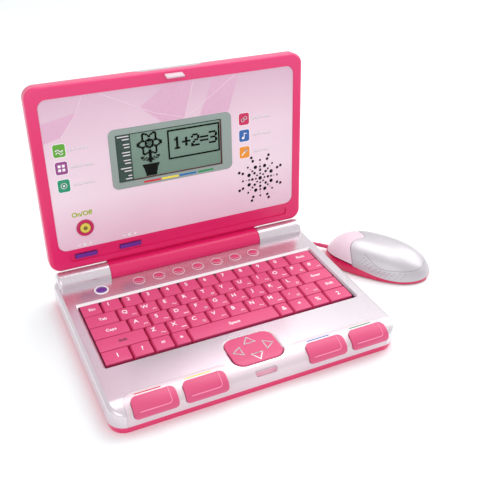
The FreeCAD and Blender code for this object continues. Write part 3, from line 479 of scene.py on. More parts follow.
class Print:
    """Flat shapes printed in one plane, each a hair thick, joined into one piece."""

    def __init__(self, plane, lift=0.0):
        self.plane = plane
        self.lift = lift
        self.bm = bmesh.new()

    def polygon(self, points):
        low = [self.bm.verts.new((x, y, self.lift)) for x, y in points]
        high = [self.bm.verts.new((x, y, self.lift + INK)) for x, y in points]
        self.bm.faces.new(high)
        self.bm.faces.new(low[::-1])
        for i in range(len(points)):
            j = (i + 1) % len(points)
            self.bm.faces.new((low[i], low[j], high[j], high[i]))

    def rect(self, x0, x1, y0, y1):
        self.polygon([(x0, y0), (x1, y0), (x1, y1), (x0, y1)])

    def disc(self, x, y, r, count=24):
        self.polygon(on_circle(x, y, r, angles_round(count)))

    def rounded(self, x0, x1, y0, y1, r):
        """Rectangle with round corners."""
        points = []
        for cx, cy, start in ((x1 - r, y1 - r, 0), (x0 + r, y1 - r, 90),
                              (x0 + r, y0 + r, 180), (x1 - r, y0 + r, 270)):
            points += on_circle(cx, cy, r, [math.radians(start + 15 * i) for i in range(7)])
        self.polygon(points)

    def stroke(self, points, width, closed=False):
        """Line of even width through the points, with round joints."""
        following = points[1:] + (points[:1] if closed else [])
        for (ax, ay), (bx, by) in zip(points, following):
            side = math.atan2(by - ay, bx - ax)
            outline = []
            for cx, cy, start in ((bx, by, side - math.pi / 2), (ax, ay, side + math.pi / 2)):
                outline += on_circle(cx, cy, width / 2, [start + math.pi * i / 5 for i in range(6)])
            self.polygon(outline)

    def ring(self, x, y, r, width, count=28):
        self.stroke(on_circle(x, y, r, angles_round(count)), width, True)

    def text(self, words, x, y, size, plane=None, heavy=0.1):
        """Plain lettering centred on (x, y); size and the thickening of its strokes are in mm."""
        curve = bpy.data.curves.new("lettering", "FONT")
        curve.body = words
        curve.size = size
        curve.align_x = "CENTER"
        curve.align_y = "CENTER"
        curve.extrude = INK / 2
        curve.offset = heavy
        curve.resolution_u = 3
        mesh = evaluated_mesh(curve)
        shift = Matrix.Translation((x, y, self.lift + INK / 2))
        mesh.transform(plane @ shift if plane else shift)
        self.bm.from_mesh(mesh)
        bpy.data.meshes.remove(mesh)

    def join(self, layer):
        """Take in the shapes of a layer that has a plane of its own."""
        layer.bm.transform(layer.plane)
        mesh = mesh_of("layer", layer.bm)
        self.bm.from_mesh(mesh)
        bpy.data.meshes.remove(mesh)

    def piece(self, name, colour, body, slot):
        bmesh.ops.recalc_face_normals(self.bm, faces=self.bm.faces)
        mesh = mesh_of(name, self.bm)
        mesh.transform(Matrix.Scale(MM, 4) @ self.plane)
        return add_mesh(name, mesh, INKS[colour], body)


def welded(node):
    """The CAD node's mesh as a bmesh with its faces joined up and its flat areas whole."""
    bm = bmesh.new()
    bm.from_mesh(frame["nodes"][node].data)
    bmesh.ops.remove_doubles(bm, verts=bm.verts, dist=0.002 * MM)
    bmesh.ops.dissolve_limit(bm, angle_limit=math.radians(0.6), verts=bm.verts, edges=bm.edges)
    return bm


def islands(bm):
    """Separate solids of a bmesh as (lowest corner, highest corner) in mm, from left to right."""
    boxes, seen = [], set()
    for vertex in bm.verts:
        if vertex in seen:
            continue
        group, waiting = [], [vertex]
        seen.add(vertex)
        while waiting:
            here = waiting.pop()
            group.append(here.co / MM)
            for edge in here.link_edges:
                other = edge.other_vert(here)
                if other not in seen:
                    seen.add(other)
                    waiting.append(other)
        boxes.append((Vector(map(min, *group)), Vector(map(max, *group))))
    return sorted(boxes, key=lambda b: b[0].x)


def softened(node, radius, sharp=28.0):
    """A piece with the node's form and its sharp edges rounded; returns the boxes of its solids."""
    bm = welded(node)
    boxes = islands(bm)
    hard = [edge for edge in bm.edges
            if len(edge.link_faces) == 2 and edge.calc_face_angle(0.0) > math.radians(sharp)]
    bmesh.ops.bevel(bm, geom=hard, offset=radius * MM, offset_type="OFFSET", segments=3,
                    profile=0.5, affect="EDGES", clamp_overlap=True)
    mesh = mesh_of(node + "_soft", bm)
    mesh.shade_smooth()
    mesh.set_sharp_from_angle(angle=math.radians(40.0))
    slot = slot_of(frame["nodes"][node])
    piece = add_mesh(node + "_soft", mesh, FINISH[slot], body_of(node))
    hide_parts(node)
    return boxes


def centreline(points):
    """Points along the smooth NURBS line that the route's points control, in metres."""
    curve = bpy.data.curves.new("route", "CURVE")
    curve.dimensions = "3D"
    spline = curve.splines.new("NURBS")
    spline.points.add(len(points) - 1)
    for target, point in zip(spline.points, points):
        target.co = (*[c * MM for c in point], 1.0)
    spline.order_u = 3
    spline.use_endpoint_u = True
    spline.resolution_u = 8
    line = evaluated_mesh(curve)
    path = [vertex.co.copy() for vertex in line.vertices]
    bpy.data.meshes.remove(line)
    return path


def tube_mesh(name, path, radius, sides=16):
    """Round tube along a path in metres, closed at both ends."""
    bm = bmesh.new()
    rings = []
    across = (path[1] - path[0]).orthogonal().normalized()
    for i, point in enumerate(path):
        along = (path[min(i + 1, len(path) - 1)] - path[max(i - 1, 0)]).normalized()
        across = (across - along * across.dot(along)).normalized()
        other = along.cross(across)
        spokes = [across * math.cos(a) + other * math.sin(a) for a in angles_round(sides)]
        rings.append([bm.verts.new(point + spoke * radius) for spoke in spokes])
    for a, b in zip(rings, rings[1:]):
        for k in range(sides):
            bm.faces.new((a[k], a[(k + 1) % sides], b[(k + 1) % sides], b[k]))
    bm.faces.new(rings[0][::-1])
    bm.faces.new(rings[-1])
    bmesh.ops.recalc_face_normals(bm, faces=bm.faces)
    mesh = mesh_of(name, bm)
    mesh.shade_smooth()
    return mesh


def joined_tubes(name, paths, radius):
    """Thin tubes along paths in metres, joined into one smooth mesh."""
    joined = bmesh.new()
    for path in paths:
        joined.from_mesh(tube_mesh(name, path, radius * MM, 8))
    mesh = mesh_of(name, joined)
    mesh.shade_smooth()
    return mesh


def tree_of(*nodes):
    """Ray-cast tree of the CAD nodes' meshes."""
    bm = bmesh.new()
    for node in nodes:
        bm.from_mesh(frame["nodes"][node].data)
    tree = BVHTree.FromBMesh(bm)
    bm.free()
    return tree


def drape(piece, plane_z, *nodes):
    """Lower a flat print, drawn at a height in mm, onto the upper faces of the nodes."""
    tree = tree_of(*nodes)
    for vertex in piece.data.vertices:
        above = vertex.co.z - plane_z * MM
        hit = tree.ray_cast(Vector((vertex.co.x, vertex.co.y, 0.1)), Vector((0, 0, -1)))[0]
        if hit:
            vertex.co.z = hit.z + above


def finer(points, step, closed=False):
    """The same path with a point at least every step mm."""
    result = []
    for a, b in zip(points, points[1:] + (points[:1] if closed else [])):
        count = max(1, math.ceil(math.dist(a, b) / step))
        for i in range(count):
            result.append((a[0] + (b[0] - a[0]) * i / count, a[1] + (b[1] - a[1]) * i / count))
    return result if closed else result + [points[-1]]


def middle_x(node):
    """Middle of a node along the hinge's direction, in mm."""
    lo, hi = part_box(node)
    return (lo.x + hi.x) / 2 / MM


# ---------------------------------------------------------------- camera, floor and lights

def make_camera():
    azimuth, elevation = math.radians(CAMERA_AZIMUTH), math.radians(CAMERA_ELEVATION)
    roll = math.radians(CAMERA_ROLL)
    back = Vector((math.sin(azimuth) * math.cos(elevation),
                   -math.cos(azimuth) * math.cos(elevation),
                   math.sin(elevation)))
    right = Vector((math.cos(azimuth), math.sin(azimuth), 0))
    up = back.cross(right)
    turned_right = right * math.cos(roll) + up * math.sin(roll)
    turned_up = up * math.cos(roll) - right * math.sin(roll)
    camera = bpy.data.objects.new("camera", bpy.data.cameras.new("camera"))
    camera.matrix_world = Matrix.Translation(Vector(CAMERA_PLACE) * MM) @ Matrix(
        (turned_right, turned_up, back)).transposed().to_4x4()
    camera.data.lens = CAMERA_LENS
    camera.data.clip_start = 0.01
    bpy.context.scene.collection.objects.link(camera)
    bpy.context.scene.camera = camera


def make_light(name, place, target, size, power):
    """White square lamp; places and size in metres, power in watts."""
    data = bpy.data.lights.new(name, "AREA")
    data.size = size
    data.energy = power
    light = bpy.data.objects.new(name, data)
    light.location = place
    light.rotation_mode = "QUATERNION"
    light.rotation_quaternion = (Vector(target) - Vector(place)).to_track_quat("-Z", "Y")
    bpy.context.scene.collection.objects.link(light)


def make_stage():
    bm = bmesh.new()
    bmesh.ops.create_grid(bm, x_segments=1, y_segments=1, size=14.0)
    mesh = mesh_of("floor", bm)
    floor = bpy.data.objects.new("floor", mesh)
    mesh.materials.append(moulded("floor_paper", (248, 252, 253), 0.9, 0.01, 0.0))
    bpy.context.scene.collection.objects.link(floor)
    world = bpy.data.worlds.new("studio")
    world.use_nodes = True
    background = world.node_tree.nodes["Background"]
    background.inputs["Color"].default_value = (1, 1, 1, 1)
    background.inputs["Strength"].default_value = 0.84
    bpy.context.scene.world = world
    bpy.context.scene.view_settings.view_transform = "Standard"
    make_light("overhead", (0.45, 0.40, 1.2), (0.03, 0.0, 0.05), 0.9, 6.5)
    make_light("front_fill", (-0.7, -1.1, 0.9), (0.0, 0.0, 0.08), 1.2, 4.0)
    make_light("right_rim", (1.1, 0.2, 0.7), (0.05, 0.0, 0.05), 0.7, 4.0)


# ---------------------------------------------------------------- mouse cord

def coil_turns():
    """Four turns: two low and two high, and a last part turn to where the cord leaves."""
    turns = 4 + (COIL_START - COIL_END) / 360
    stages = [(0.0, COIL_OUTER, COIL_LOW), (0.85, COIL_OUTER, COIL_LOW),
              (1.15, COIL_INNER, COIL_LOW), (1.85, COIL_INNER, COIL_LOW),
              (2.15, COIL_INNER, COIL_HIGH), (2.85, COIL_INNER, COIL_HIGH),
              (3.15, COIL_OUTER, COIL_HIGH), (turns, COIL_OUTER, COIL_HIGH)]
    points = []
    for i in range(int(turns * TURN_POINTS) + 1):
        done = i / TURN_POINTS
        a, b = next((p, q) for p, q in zip(stages, stages[1:]) if p[0] <= done <= q[0])
        share = (done - a[0]) / (b[0] - a[0])
        radius, z = a[1] + (b[1] - a[1]) * share, a[2] + (b[2] - a[2]) * share
        angle = math.radians(COIL_START) - done * 2 * math.pi
        points += [(x, y, z) for x, y in on_circle(*COIL_CENTRE, radius, [angle])]
    return points


def make_cord():
    path = centreline(LEAD_ROUTE + coil_turns() + CORD_ROUTE)
    mesh = tube_mesh("mouse_lead", path, CORD_R * MM)
    mesh.materials.append(FINISH["cord_pink"])
    cord = bpy.data.objects.new("mouse_lead", mesh)
    bpy.context.scene.collection.objects.link(cord)
    clear = Vector((112.2, 124.3, 1.75)) * MM       # where the cord is clear of the coil
    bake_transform(cord, "base", "mouse", start=clear, end=Vector(CORD_ROUTE[-1]) * MM)
    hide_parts("cord_lead", "cord_coil", "mouse_cord")


def make_tie():
    """Soft strap that holds the coil's turns together."""
    angle = math.radians(205.0)
    middle, half_width, half_height, corner = (COIL_INNER + COIL_OUTER) / 2, 3.95, 3.6, 1.5
    loop = []
    for cx, cz, start in ((1, 1, 0), (-1, 1, 90), (-1, -1, 180), (1, -1, 270)):
        for i in range(5):
            a = math.radians(start + 90 * i / 4)
            radial = middle + cx * (half_width - corner) + corner * math.cos(a)
            loop.append((radial, half_height + cz * (half_height - corner) + corner * math.sin(a)))
    bm = bmesh.new()
    rings = []
    for side, grow in ((-2.4, 0.0), (-2.1, 0.25), (2.1, 0.25), (2.4, 0.0)):
        ring = []
        for radial, z in loop:
            out = Vector((radial - middle, z - half_height)).normalized() * grow
            r, across = radial + out.x, side
            x = COIL_CENTRE[0] + r * math.cos(angle) - across * math.sin(angle)
            y = COIL_CENTRE[1] + r * math.sin(angle) + across * math.cos(angle)
            ring.append(bm.verts.new((x * MM, y * MM, max(z + out.y, 0.0) * MM)))
        rings.append(ring)
    count = len(loop)
    for a, b in zip(rings, rings[1:] + rings[:1]):
        for i in range(count):
            bm.faces.new((a[i], a[(i + 1) % count], b[(i + 1) % count], b[i]))
    bmesh.ops.recalc_face_normals(bm, faces=bm.faces)
    mesh = mesh_of("coil_tie", bm)
    mesh.shade_smooth()
    add_mesh("coil_tie", mesh, FINISH["rubber_grey"], "base")


# ---------------------------------------------------------------- keys and their legends

SMALL_MARKS = ["bar", "ring", "dots", "arc", "tilde"]
KEY_WORDS = {
    "number_row_keys": ["Esc"] + list("1234567890") + ["Back"],
    "top_letter_keys": ["Tab"] + list("QWERTYUIOP") + ["#"],
    "home_letter_keys": ["Caps"] + list("ASDFGHJKL"),
    "low_letter_keys": [""] + list("ZXCVBNM,.") + ["Shift"],
    "function_keys": ["?", "=", "+", "&", "*", "%"],
    "enter_key": ["Enter"],
    "space_bar": ["Space"],
    "player_1_key": ["1"],
    "player_2_key": ["2"],
}
SIGN_KEYS = ("function_keys", "player_1_key", "player_2_key")       # one sign, in the middle
TOP_LEFT_INSET, TOP_RIGHT_INSET = 2.3, 0.5      # flanks of a key, seen from above
LETTER_SIZE, SIGN_SIZE, WORD_SIZE = 6.4, 7.0, 4.8
LETTER_INSET, LETTER_Y = 4.6, 2.4               # from the left edge and from the middle of a key
MARK_INSET, MARK_Y = 3.8, -3.6                  # from the right edge and from the middle


def small_mark(layer, kind, x, y):
    """Generic second mark on a letter key."""
    if kind == "bar":
        layer.stroke([(x - 2.1, y), (x + 2.1, y)], 0.7)
    elif kind == "ring":
        layer.ring(x, y, 1.2, 0.6, 12)
    elif kind == "dots":
        for dx in (-1.5, 0.0, 1.5):
            layer.disc(x + dx, y, 0.5, 8)
    elif kind == "arc":
        angles = [math.radians(20 + 28 * i) for i in range(6)]
        layer.stroke(on_circle(x, y - 0.8, 1.6, angles), 0.6)
    else:
        steps = [i / 6 for i in range(7)]
        wave = [(x - 1.9 + 3.8 * t, y + 0.6 * math.sin(2 * math.pi * t)) for t in steps]
        layer.stroke(wave, 0.6)


def key_plane(lo, hi):
    """Sloping top of a key: origin at its middle, x to the right, y towards the hinge."""
    left = (lo.x + TOP_LEFT_INSET + hi.x - TOP_RIGHT_INSET) / 2
    turn = Matrix.Rotation(KEY_SLOPE, 4, "X")
    return Matrix.Translation((left, (lo.y + hi.y) / 2, KEY_TOP_MID)) @ turn


def make_keys():
    """Keys with softened edges, and what is printed on them; one key has a dark legend."""
    for row, (node, words) in enumerate(KEY_WORDS.items()):
        boxes = softened(node, 0.45)
        body = body_of(node)
        whites = Print(Matrix.Identity(4))
        for i, ((lo, hi), word) in enumerate(zip(boxes, words)):
            plane = key_plane(lo, hi)
            half = (hi.x - lo.x - TOP_LEFT_INSET - TOP_RIGHT_INSET) / 2
            single = len(word) == 1 and node not in SIGN_KEYS
            if single:
                whites.text(word, -half + LETTER_INSET, LETTER_Y, LETTER_SIZE, plane)
            elif word:
                size = SIGN_SIZE if len(word) == 1 else WORD_SIZE
                whites.text(word, 0.0, 0.3, size, plane, 0.08)
            if single and node != "number_row_keys":
                marks = Print(plane)
                kind = SMALL_MARKS[(i + row) % len(SMALL_MARKS)]
                small_mark(marks, kind, half - MARK_INSET, MARK_Y)
                whites.join(marks)
        whites.piece(node + "_legends", "white", body, "white_plastic")
    lo, hi = islands(welded("low_letter_keys"))[0]
    dark = Print(Matrix.Identity(4))
    dark.text("Shift", 0.0, 0.0, 4.2, key_plane(lo, hi))
    dark.piece("low_letter_keys_dark_legend", "dark", body_of("low_letter_keys"), "purple")


# ---------------------------------------------------------------- front edge of the base

def nose_point(x, angle, proud):
    """Point of the front curve, where the surface leans forward by an angle in degrees."""
    a = math.radians(angle)
    if a <= NOSE_TURN1:
        y, z, r = NOSE_BEND_Y, DECK_Z - NOSE_R1, NOSE_R1 + proud
    else:
        inward = NOSE_R1 - NOSE_R2
        y = NOSE_BEND_Y - inward * math.sin(NOSE_TURN1)
        z = DECK_Z - NOSE_R1 + inward * math.cos(NOSE_TURN1)
        r = NOSE_R2 + proud
    return (x, y - r * math.sin(a), z + r * math.cos(a))


STRIPE_Y, STRIPE_HALF, STRIPE_SHIFT = -84.6, 10.7, -2.4     # beside the middle of each button


def make_front_details():
    """Front buttons, the ridge along two sides of each in a lighter pink as a painted highlight, and a
    coloured stripe behind it.
    """
    for index, colour in enumerate(("red", "yellow", "blue", "green"), 1):
        node = "front_button_%d" % index
        softened(node, 0.7)
        lo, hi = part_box(node)
        middle, half = (lo.x + hi.x) / 2 / MM, (hi.x - lo.x) / 2 / MM
        right, left = middle + half, middle - half
        route = [(right - 5.5, a) for a in (9, 22, 35, 48)]      # x, and lean in degrees
        route += [(right - 6.6, 57), (right - 9.5, 59), (middle, 59), (left + 4.5, 59)]
        path = centreline([nose_point(x, a, BUTTON_PROUD) for x, a in route])
        # The ridge is drawn in a lighter pink than the button: painted highlight.
        ridge = tube_mesh(node + "_ridge", path, 0.5 * MM, 10)
        add_mesh(node + "_ridge", ridge, INKS["ridge"], node + "_body")
        centre = middle + STRIPE_SHIFT
        ends = [(centre - STRIPE_HALF, STRIPE_Y), (centre + STRIPE_HALF, STRIPE_Y)]
        stripe = Print(on_deck(DECK_Z), INK / 2)
        stripe.stroke(finer(ends, 4.0), 1.0)
        piece = stripe.piece("stripe_" + colour, colour, "base", "white_plastic")
        drape(piece, DECK_Z, "upper_case", "front_trim")


ARROW_CENTRE, ARROW_HEIGHT, ARROW_HALF = (-0.4, -73.3), 7.8, 5.35
ARROW_BASES = {0: 11.1, 90: 7.1, 180: 11.1, 270: 7.1}    # from the middle, by way in degrees
EDGE_CLEAR = 1.15                           # painted highlight on the pad's recess bevel, outside the pad
EDGE_LEFT, EDGE_FRONT = 16.0, 9.0           # how far down its left side; how near the pad's front


def arrow(angle, base):
    """Triangle that points outwards from the middle of the arrows."""
    a = math.radians(angle)
    corners = ((base + ARROW_HEIGHT, 0.0), (base, ARROW_HALF), (base, -ARROW_HALF))
    return [(ARROW_CENTRE[0] + out * math.cos(a) - side * math.sin(a),
             ARROW_CENTRE[1] + out * math.sin(a) + side * math.cos(a)) for out, side in corners]


def make_direction_marks():
    """Direction pad with its four arrows, and a painted highlight on the bevel round its rear three sides.
    """
    softened("direction_pad", 0.3, 45.0)
    marks = Print(on_deck(DECK_Z), 2 * INK)
    for angle, base in ARROW_BASES.items():
        marks.stroke(finer(arrow(angle, base), 1.0, True), 0.95, True)
    piece = marks.piece("direction_marks", "white", body_of("direction_pad"), "white_plastic")
    drape(piece, DECK_Z, "direction_pad")
    lo, hi = (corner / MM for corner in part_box("direction_pad"))
    # White stroke round the pad's rear three sides: painted highlight on its recess bevel.
    around = Print(on_deck(DECK_Z), INK)
    corner = PAD_CORNER + EDGE_CLEAR
    left, right, rear = lo.x - EDGE_CLEAR, hi.x + EDGE_CLEAR, hi.y + EDGE_CLEAR
    left_turn = [math.radians(a) for a in range(180, 90, -15)]
    right_turn = [math.radians(a) for a in range(90, -1, -15)]
    path = [(left, rear - EDGE_LEFT)]
    path += on_circle(left + corner, rear - corner, corner, left_turn)
    path += on_circle(right - corner, rear - corner, corner, right_turn)
    path += [(right, lo.y + EDGE_FRONT)]
    around.stroke(finer(path, 3.0), 1.1)
    piece = around.piece("direction_pad_bevel_highlight", "white", "base", "silver_paint")
    drape(piece, DECK_Z, "upper_case")


RIM_R, RIM_THICK = 5.8, 0.3
SHINE_R = 4.5


def make_deck_details():
    """Painted highlights: a white rim round each mode button, a white crescent on its lower side, and a
    white rear edge and bevel of the key well.
    """
    boxes = islands(welded("mode_buttons"))
    places = [((lo.x + hi.x) / 2, (lo.y + hi.y) / 2) for lo, hi in boxes]
    # White rings round the button holes: painted highlight on the holes' bevels.
    whole_turn = [2 * math.pi * i / 40 for i in range(41)]
    circles = [on_circle(x, y, RIM_R, whole_turn) for x, y in places]
    paths = [[Vector((*point, DECK_Z - 0.05)) * MM for point in circle] for circle in circles]
    rims = joined_tubes("mode_button_rim_highlights", paths, RIM_THICK)
    add_mesh("mode_button_rim_highlights", rims, FINISH["white_plastic"], "base")
    # White crescents on the lower side of each button: painted highlight.
    shine = Print(on_deck(boxes[0][1].z))
    low_side = [math.radians(a) for a in range(195, 331, 9)]
    for x, y in places:
        shine.stroke(on_circle(x, y, SHINE_R, low_side), 0.5)
    shine.piece("mode_button_shine", "white", body_of("mode_buttons"), "white_plastic")
    # White band on the well's rear bevel and along its rear edge: painted highlight.
    left, right = -WELL_HALF_W, WELL_HALF_W
    edge = Matrix.Translation((0, WELL_REAR, DECK_Z))
    band = Print(edge @ Matrix.Rotation(math.radians(45.0), 4, "X"), INK)
    band.rounded(left, right, -2.2, 0.1, 0.9)
    band.rect(left + 0.4, right - 0.4, -0.1, 0.1)
    band.piece("well_rear_bevel_highlight", "white", "base", "silver_paint")
    flat = Print(on_deck(DECK_Z))
    flat.rounded(left, right, WELL_REAR - 0.2, WELL_REAR + 0.9, 0.5)
    flat.piece("well_rear_edge_highlight", "white", "base", "silver_paint")


PLUG_RING_R, PLUG_RING_POINTS = 4.1, 48


def make_barrel_rings():
    """Fine line round each plug in the barrel."""
    slope = math.radians(PLUG_ANGLE) + LID_LEAN
    out = Vector((0, -math.cos(slope), math.sin(slope)))
    tree = tree_of("lid_front_frame", "barrel_plugs")
    paths = []
    for x in PLUG_X:
        path = []
        for i in range(PLUG_RING_POINTS + 1):
            a = 2 * math.pi * i / PLUG_RING_POINTS
            side = Vector((0, -out.z, out.y)) * (PLUG_RING_R * math.sin(a))
            start = Vector((x + PLUG_RING_R * math.cos(a), *AXIS)) + side + out * 14
            path.append(tree.ray_cast(start * MM, -out)[0])
        paths.append(path)
    rings = joined_tubes("barrel_rings", paths, 0.28)
    add_mesh("barrel_rings", rings, INKS["barrel_groove"], "lid")


# ---------------------------------------------------------------- face panel and display

def glyph(layer, kind, x, y):
    """Plain sign in the middle of an icon."""
    if kind == "wave":
        layer.stroke([(x - 3 + i, y + 1.2 * math.sin(i * 1.05)) for i in range(7)], 1.1)
        layer.stroke([(x - 3 + i, y - 2.6 + 1.2 * math.sin(i * 1.05)) for i in range(7)], 0.8)
    elif kind == "grid":
        for dx in (-1.9, 1.9):
            for dy in (-1.9, 1.9):
                layer.rounded(x + dx - 1.3, x + dx + 1.3, y + dy - 1.3, y + dy + 1.3, 0.4)
    elif kind == "orbit":
        layer.ring(x, y, 2.6, 0.8)
        layer.disc(x, y, 1.0)
    elif kind == "pair":
        layer.ring(x - 1.3, y - 0.9, 1.6, 0.8)
        layer.ring(x + 1.5, y + 0.9, 1.6, 0.8)
    elif kind == "note":
        layer.disc(x - 1.2, y - 2.2, 1.4)
        layer.stroke([(x - 0.1, y - 2.2), (x - 0.1, y + 2.8), (x + 2.4, y + 1.9)], 0.8)
    else:
        layer.stroke([(x - 2.6, y - 2.6), (x + 1.2, y + 1.2)], 1.2)
        layer.ring(x + 1.7, y + 1.7, 1.3, 0.8)


ICONS = [(-111.6, 120.0, "leaf", "wave"), (-111.6, 103.5, "violet", "grid"),
         (-111.6, 86.3, "teal", "orbit"), (70.3, 121.0, "crimson", "pair"),
         (70.3, 104.0, "sky", "note"), (70.3, 86.5, "orange", "wand")]
ICON_HALF_W, ICON_HALF_H = 5.5, 6.0
# Half lengths of the two word-like strokes beside each icon; they spell nothing.
LABEL_STROKES = [(2.6, 4.4), (5.0, 3.6), (3.4, 5.2), (4.6, 4.0), (3.0, 5.6), (4.2, 3.4)]


def make_icons():
    """Six coloured squares with a sign each, and a mock label beside each."""
    rims, shadows = Print(in_lid(PANEL_N)), Print(in_lid(PANEL_N))
    labels, glyphs = Print(in_lid(PANEL_N), INK), Print(in_lid(PANEL_N), 2 * INK)
    for (x, s, colour, kind), lengths in zip(ICONS, LABEL_STROKES):
        w, h = ICON_HALF_W, ICON_HALF_H
        rims.rounded(x - w - 0.6, x + w + 0.6, s - h - 0.6, s + h + 0.6, 2.4)
        square = Print(in_lid(PANEL_N), INK)
        square.rounded(x - w, x + w, s - h, s + h, 2.0)
        square.piece("icon_" + colour, colour, "lid", "panel_print")
        glyph(glyphs, kind, x, s)
        for layer, right, up in ((shadows, 0.25, -0.3), (labels, 0.0, 0.0)):
            at, foot = x + w + 3.5 + right, s - 0.9 + up
            for length in lengths:
                layer.stroke([(at, foot), (at + 2 * length, foot)], 0.6)
                for i in range(int(2 * length / 1.5) + 1):
                    rise = 1.3 + 0.9 * ((i * 7 + int(s)) % 3 == 0)
                    layer.stroke([(at + 1.5 * i, foot), (at + 1.5 * i + 0.4, foot + rise)], 0.55)
                at += 2 * length + 2.4
    rims.piece("icon_rims", "white", "lid", "panel_print")
    glyphs.piece("icon_glyphs", "white", "lid", "panel_print")
    shadows.piece("icon_label_shadows", "grey", "lid", "panel_print")
    labels.piece("icon_labels", "white", "lid", "panel_print")


def make_panel_shards():
    """Pale facets that fan out above the display."""
    facets = Print(in_lid(PANEL_N))
    for corners in ([(-14, 131.6), (-34, 148), (-6, 166.6), (18, 166.6), (8, 131.6)],
                    [(24, 131.6), (40, 166.6), (66, 166.6), (54, 131.4)],
                    [(-124.2, 146), (-124.2, 128), (-108, 132), (-92, 152)]):
        facets.polygon(corners)
    facets.piece("panel_facets", "shard", "lid", "panel_print")
    lines = Print(in_lid(PANEL_N), INK)
    for path in ([(-70, 166), (-20, 141), (10, 132)], [(10, 132), (19, 166)],
                 [(10, 132), (62, 166)], [(-108, 132), (-92, 152), (-86, 166)]):
        lines.stroke(path, 0.4)
    lines.piece("panel_lines", "shard_line", "lid", "panel_print")


POWER_S, POWER_SIGN_S, ROCKER_SIGN_S = 41.0, 55.6, 24.2      # heights up the lid


def make_control_signs():
    """Prints at the power button and above the two rockers."""
    x = middle_x("power_button")
    sign = Print(in_lid(PANEL_N))
    sign.text("On/Off", x - 1.5, POWER_SIGN_S, 6.6, None, 0.22)
    sign.piece("power_signs", "lime", "lid", "panel_print")
    dot = Print(in_lid(POWER_N))
    dot.disc(x, POWER_S, 2.0)
    dot.piece("power_dot", "olive", body_of("power_button"), "power_yellow")
    signs = Print(in_lid(PANEL_N))
    for node in ("contrast_rocker", "volume_rocker"):
        x, s = middle_x(node), ROCKER_SIGN_S
        signs.ring(x, s, 1.7, 0.5, 16)
        signs.disc(x - 0.4, s, 1.3)
        signs.stroke([(x + 4.2, s), (x + 6.8, s)], 0.8)
        signs.stroke([(x + 5.5, s - 1.3), (x + 5.5, s + 1.3)], 0.8)
        signs.stroke([(x - 6.8, s), (x - 4.2, s)], 0.8)
    signs.piece("rocker_signs", "white", "lid", "panel_print")


# Boxes are left, right, foot and head.
SCREEN = (-60.2, 46.0, 78.8, 125.4)         # seen part of the display
BAND_X = -45.4                              # right edge of the dark band at its left
BAND_STROKES = (10.5, 6.0, 5.4, 4.6, 6.8, 6.4, 6.0, 5.0, 9.4, 6.2, 3.0, 5.6)    # from the top
PAIR_PITCH, STROKE_PITCH = 7.7, 2.9         # these strokes stand in pairs
SUM, SUM_FRAME = "1+2=3", (-8.7, 43.4, 93.6, 121.2)
SUM_X, SUM_S, SIGN_PITCH = -4.4, 112.6, 9.3
DOT_PITCH_X, DOT_PITCH_S, DOT_W, DOT_H = 1.6, 1.75, 2.5, 1.85
FLOWER_X, FLOWER_UP = -27.5, 31.5           # middle of the flower; height over the pot's foot
POT_RIM, SOIL = 9.4, 12
PIXEL = 1.0
BARS_FOOT, BARS_HEAD = 74.6, 76.5
BARS = (("red", -36.3, -19.2), ("yellow", -18.3, -0.8),
        ("blue", -0.3, 17.5), ("green", 19.3, 35.6))
SIGNS = {
    "1": ["00100", "01100", "00100", "00100", "00100", "00100", "01110"],
    "2": ["01110", "10001", "00001", "00110", "01000", "10000", "11111"],
    "3": ["11110", "00001", "00001", "01110", "00001", "00001", "11110"],
    "+": ["00000", "00100", "00100", "11111", "00100", "00100", "00000"],
    "=": ["00000", "00000", "11111", "00000", "11111", "00000", "00000"],
}


def flower_dark(x, y):
    """Whether a pixel of the potted flower is dark; x and y in mm from the pot's foot."""
    angle, far = math.atan2(y - FLOWER_UP, x), math.hypot(x, y - FLOWER_UP)
    petals = 9.2 + 2.2 * math.cos(6 * angle)
    if abs(far - petals) < 1.3 or abs(far - 3.6) < 1.1:
        return True
    if 4.7 < far < petals - 1.5 and abs(math.sin(3 * angle)) > 0.93:
        return True
    if far < 3.0:
        return (round(x) + round(y)) % 2 == 0
    if abs(x) < 1.4 and SOIL < y < FLOWER_UP - petals:
        return True
    above_leaf = y - 15.5 - abs(x) * 0.3
    leaf = ((abs(x) - 5.0) / 5.0) ** 2 + (above_leaf / 2.0) ** 2
    if leaf < 1.0 and (leaf > 0.45 or abs(above_leaf) < 0.4):
        return True
    if POT_RIM < y < SOIL and abs(x) < 8.4:
        return True
    return 0 <= y <= POT_RIM and abs(x) < 5.2 + y * 0.24


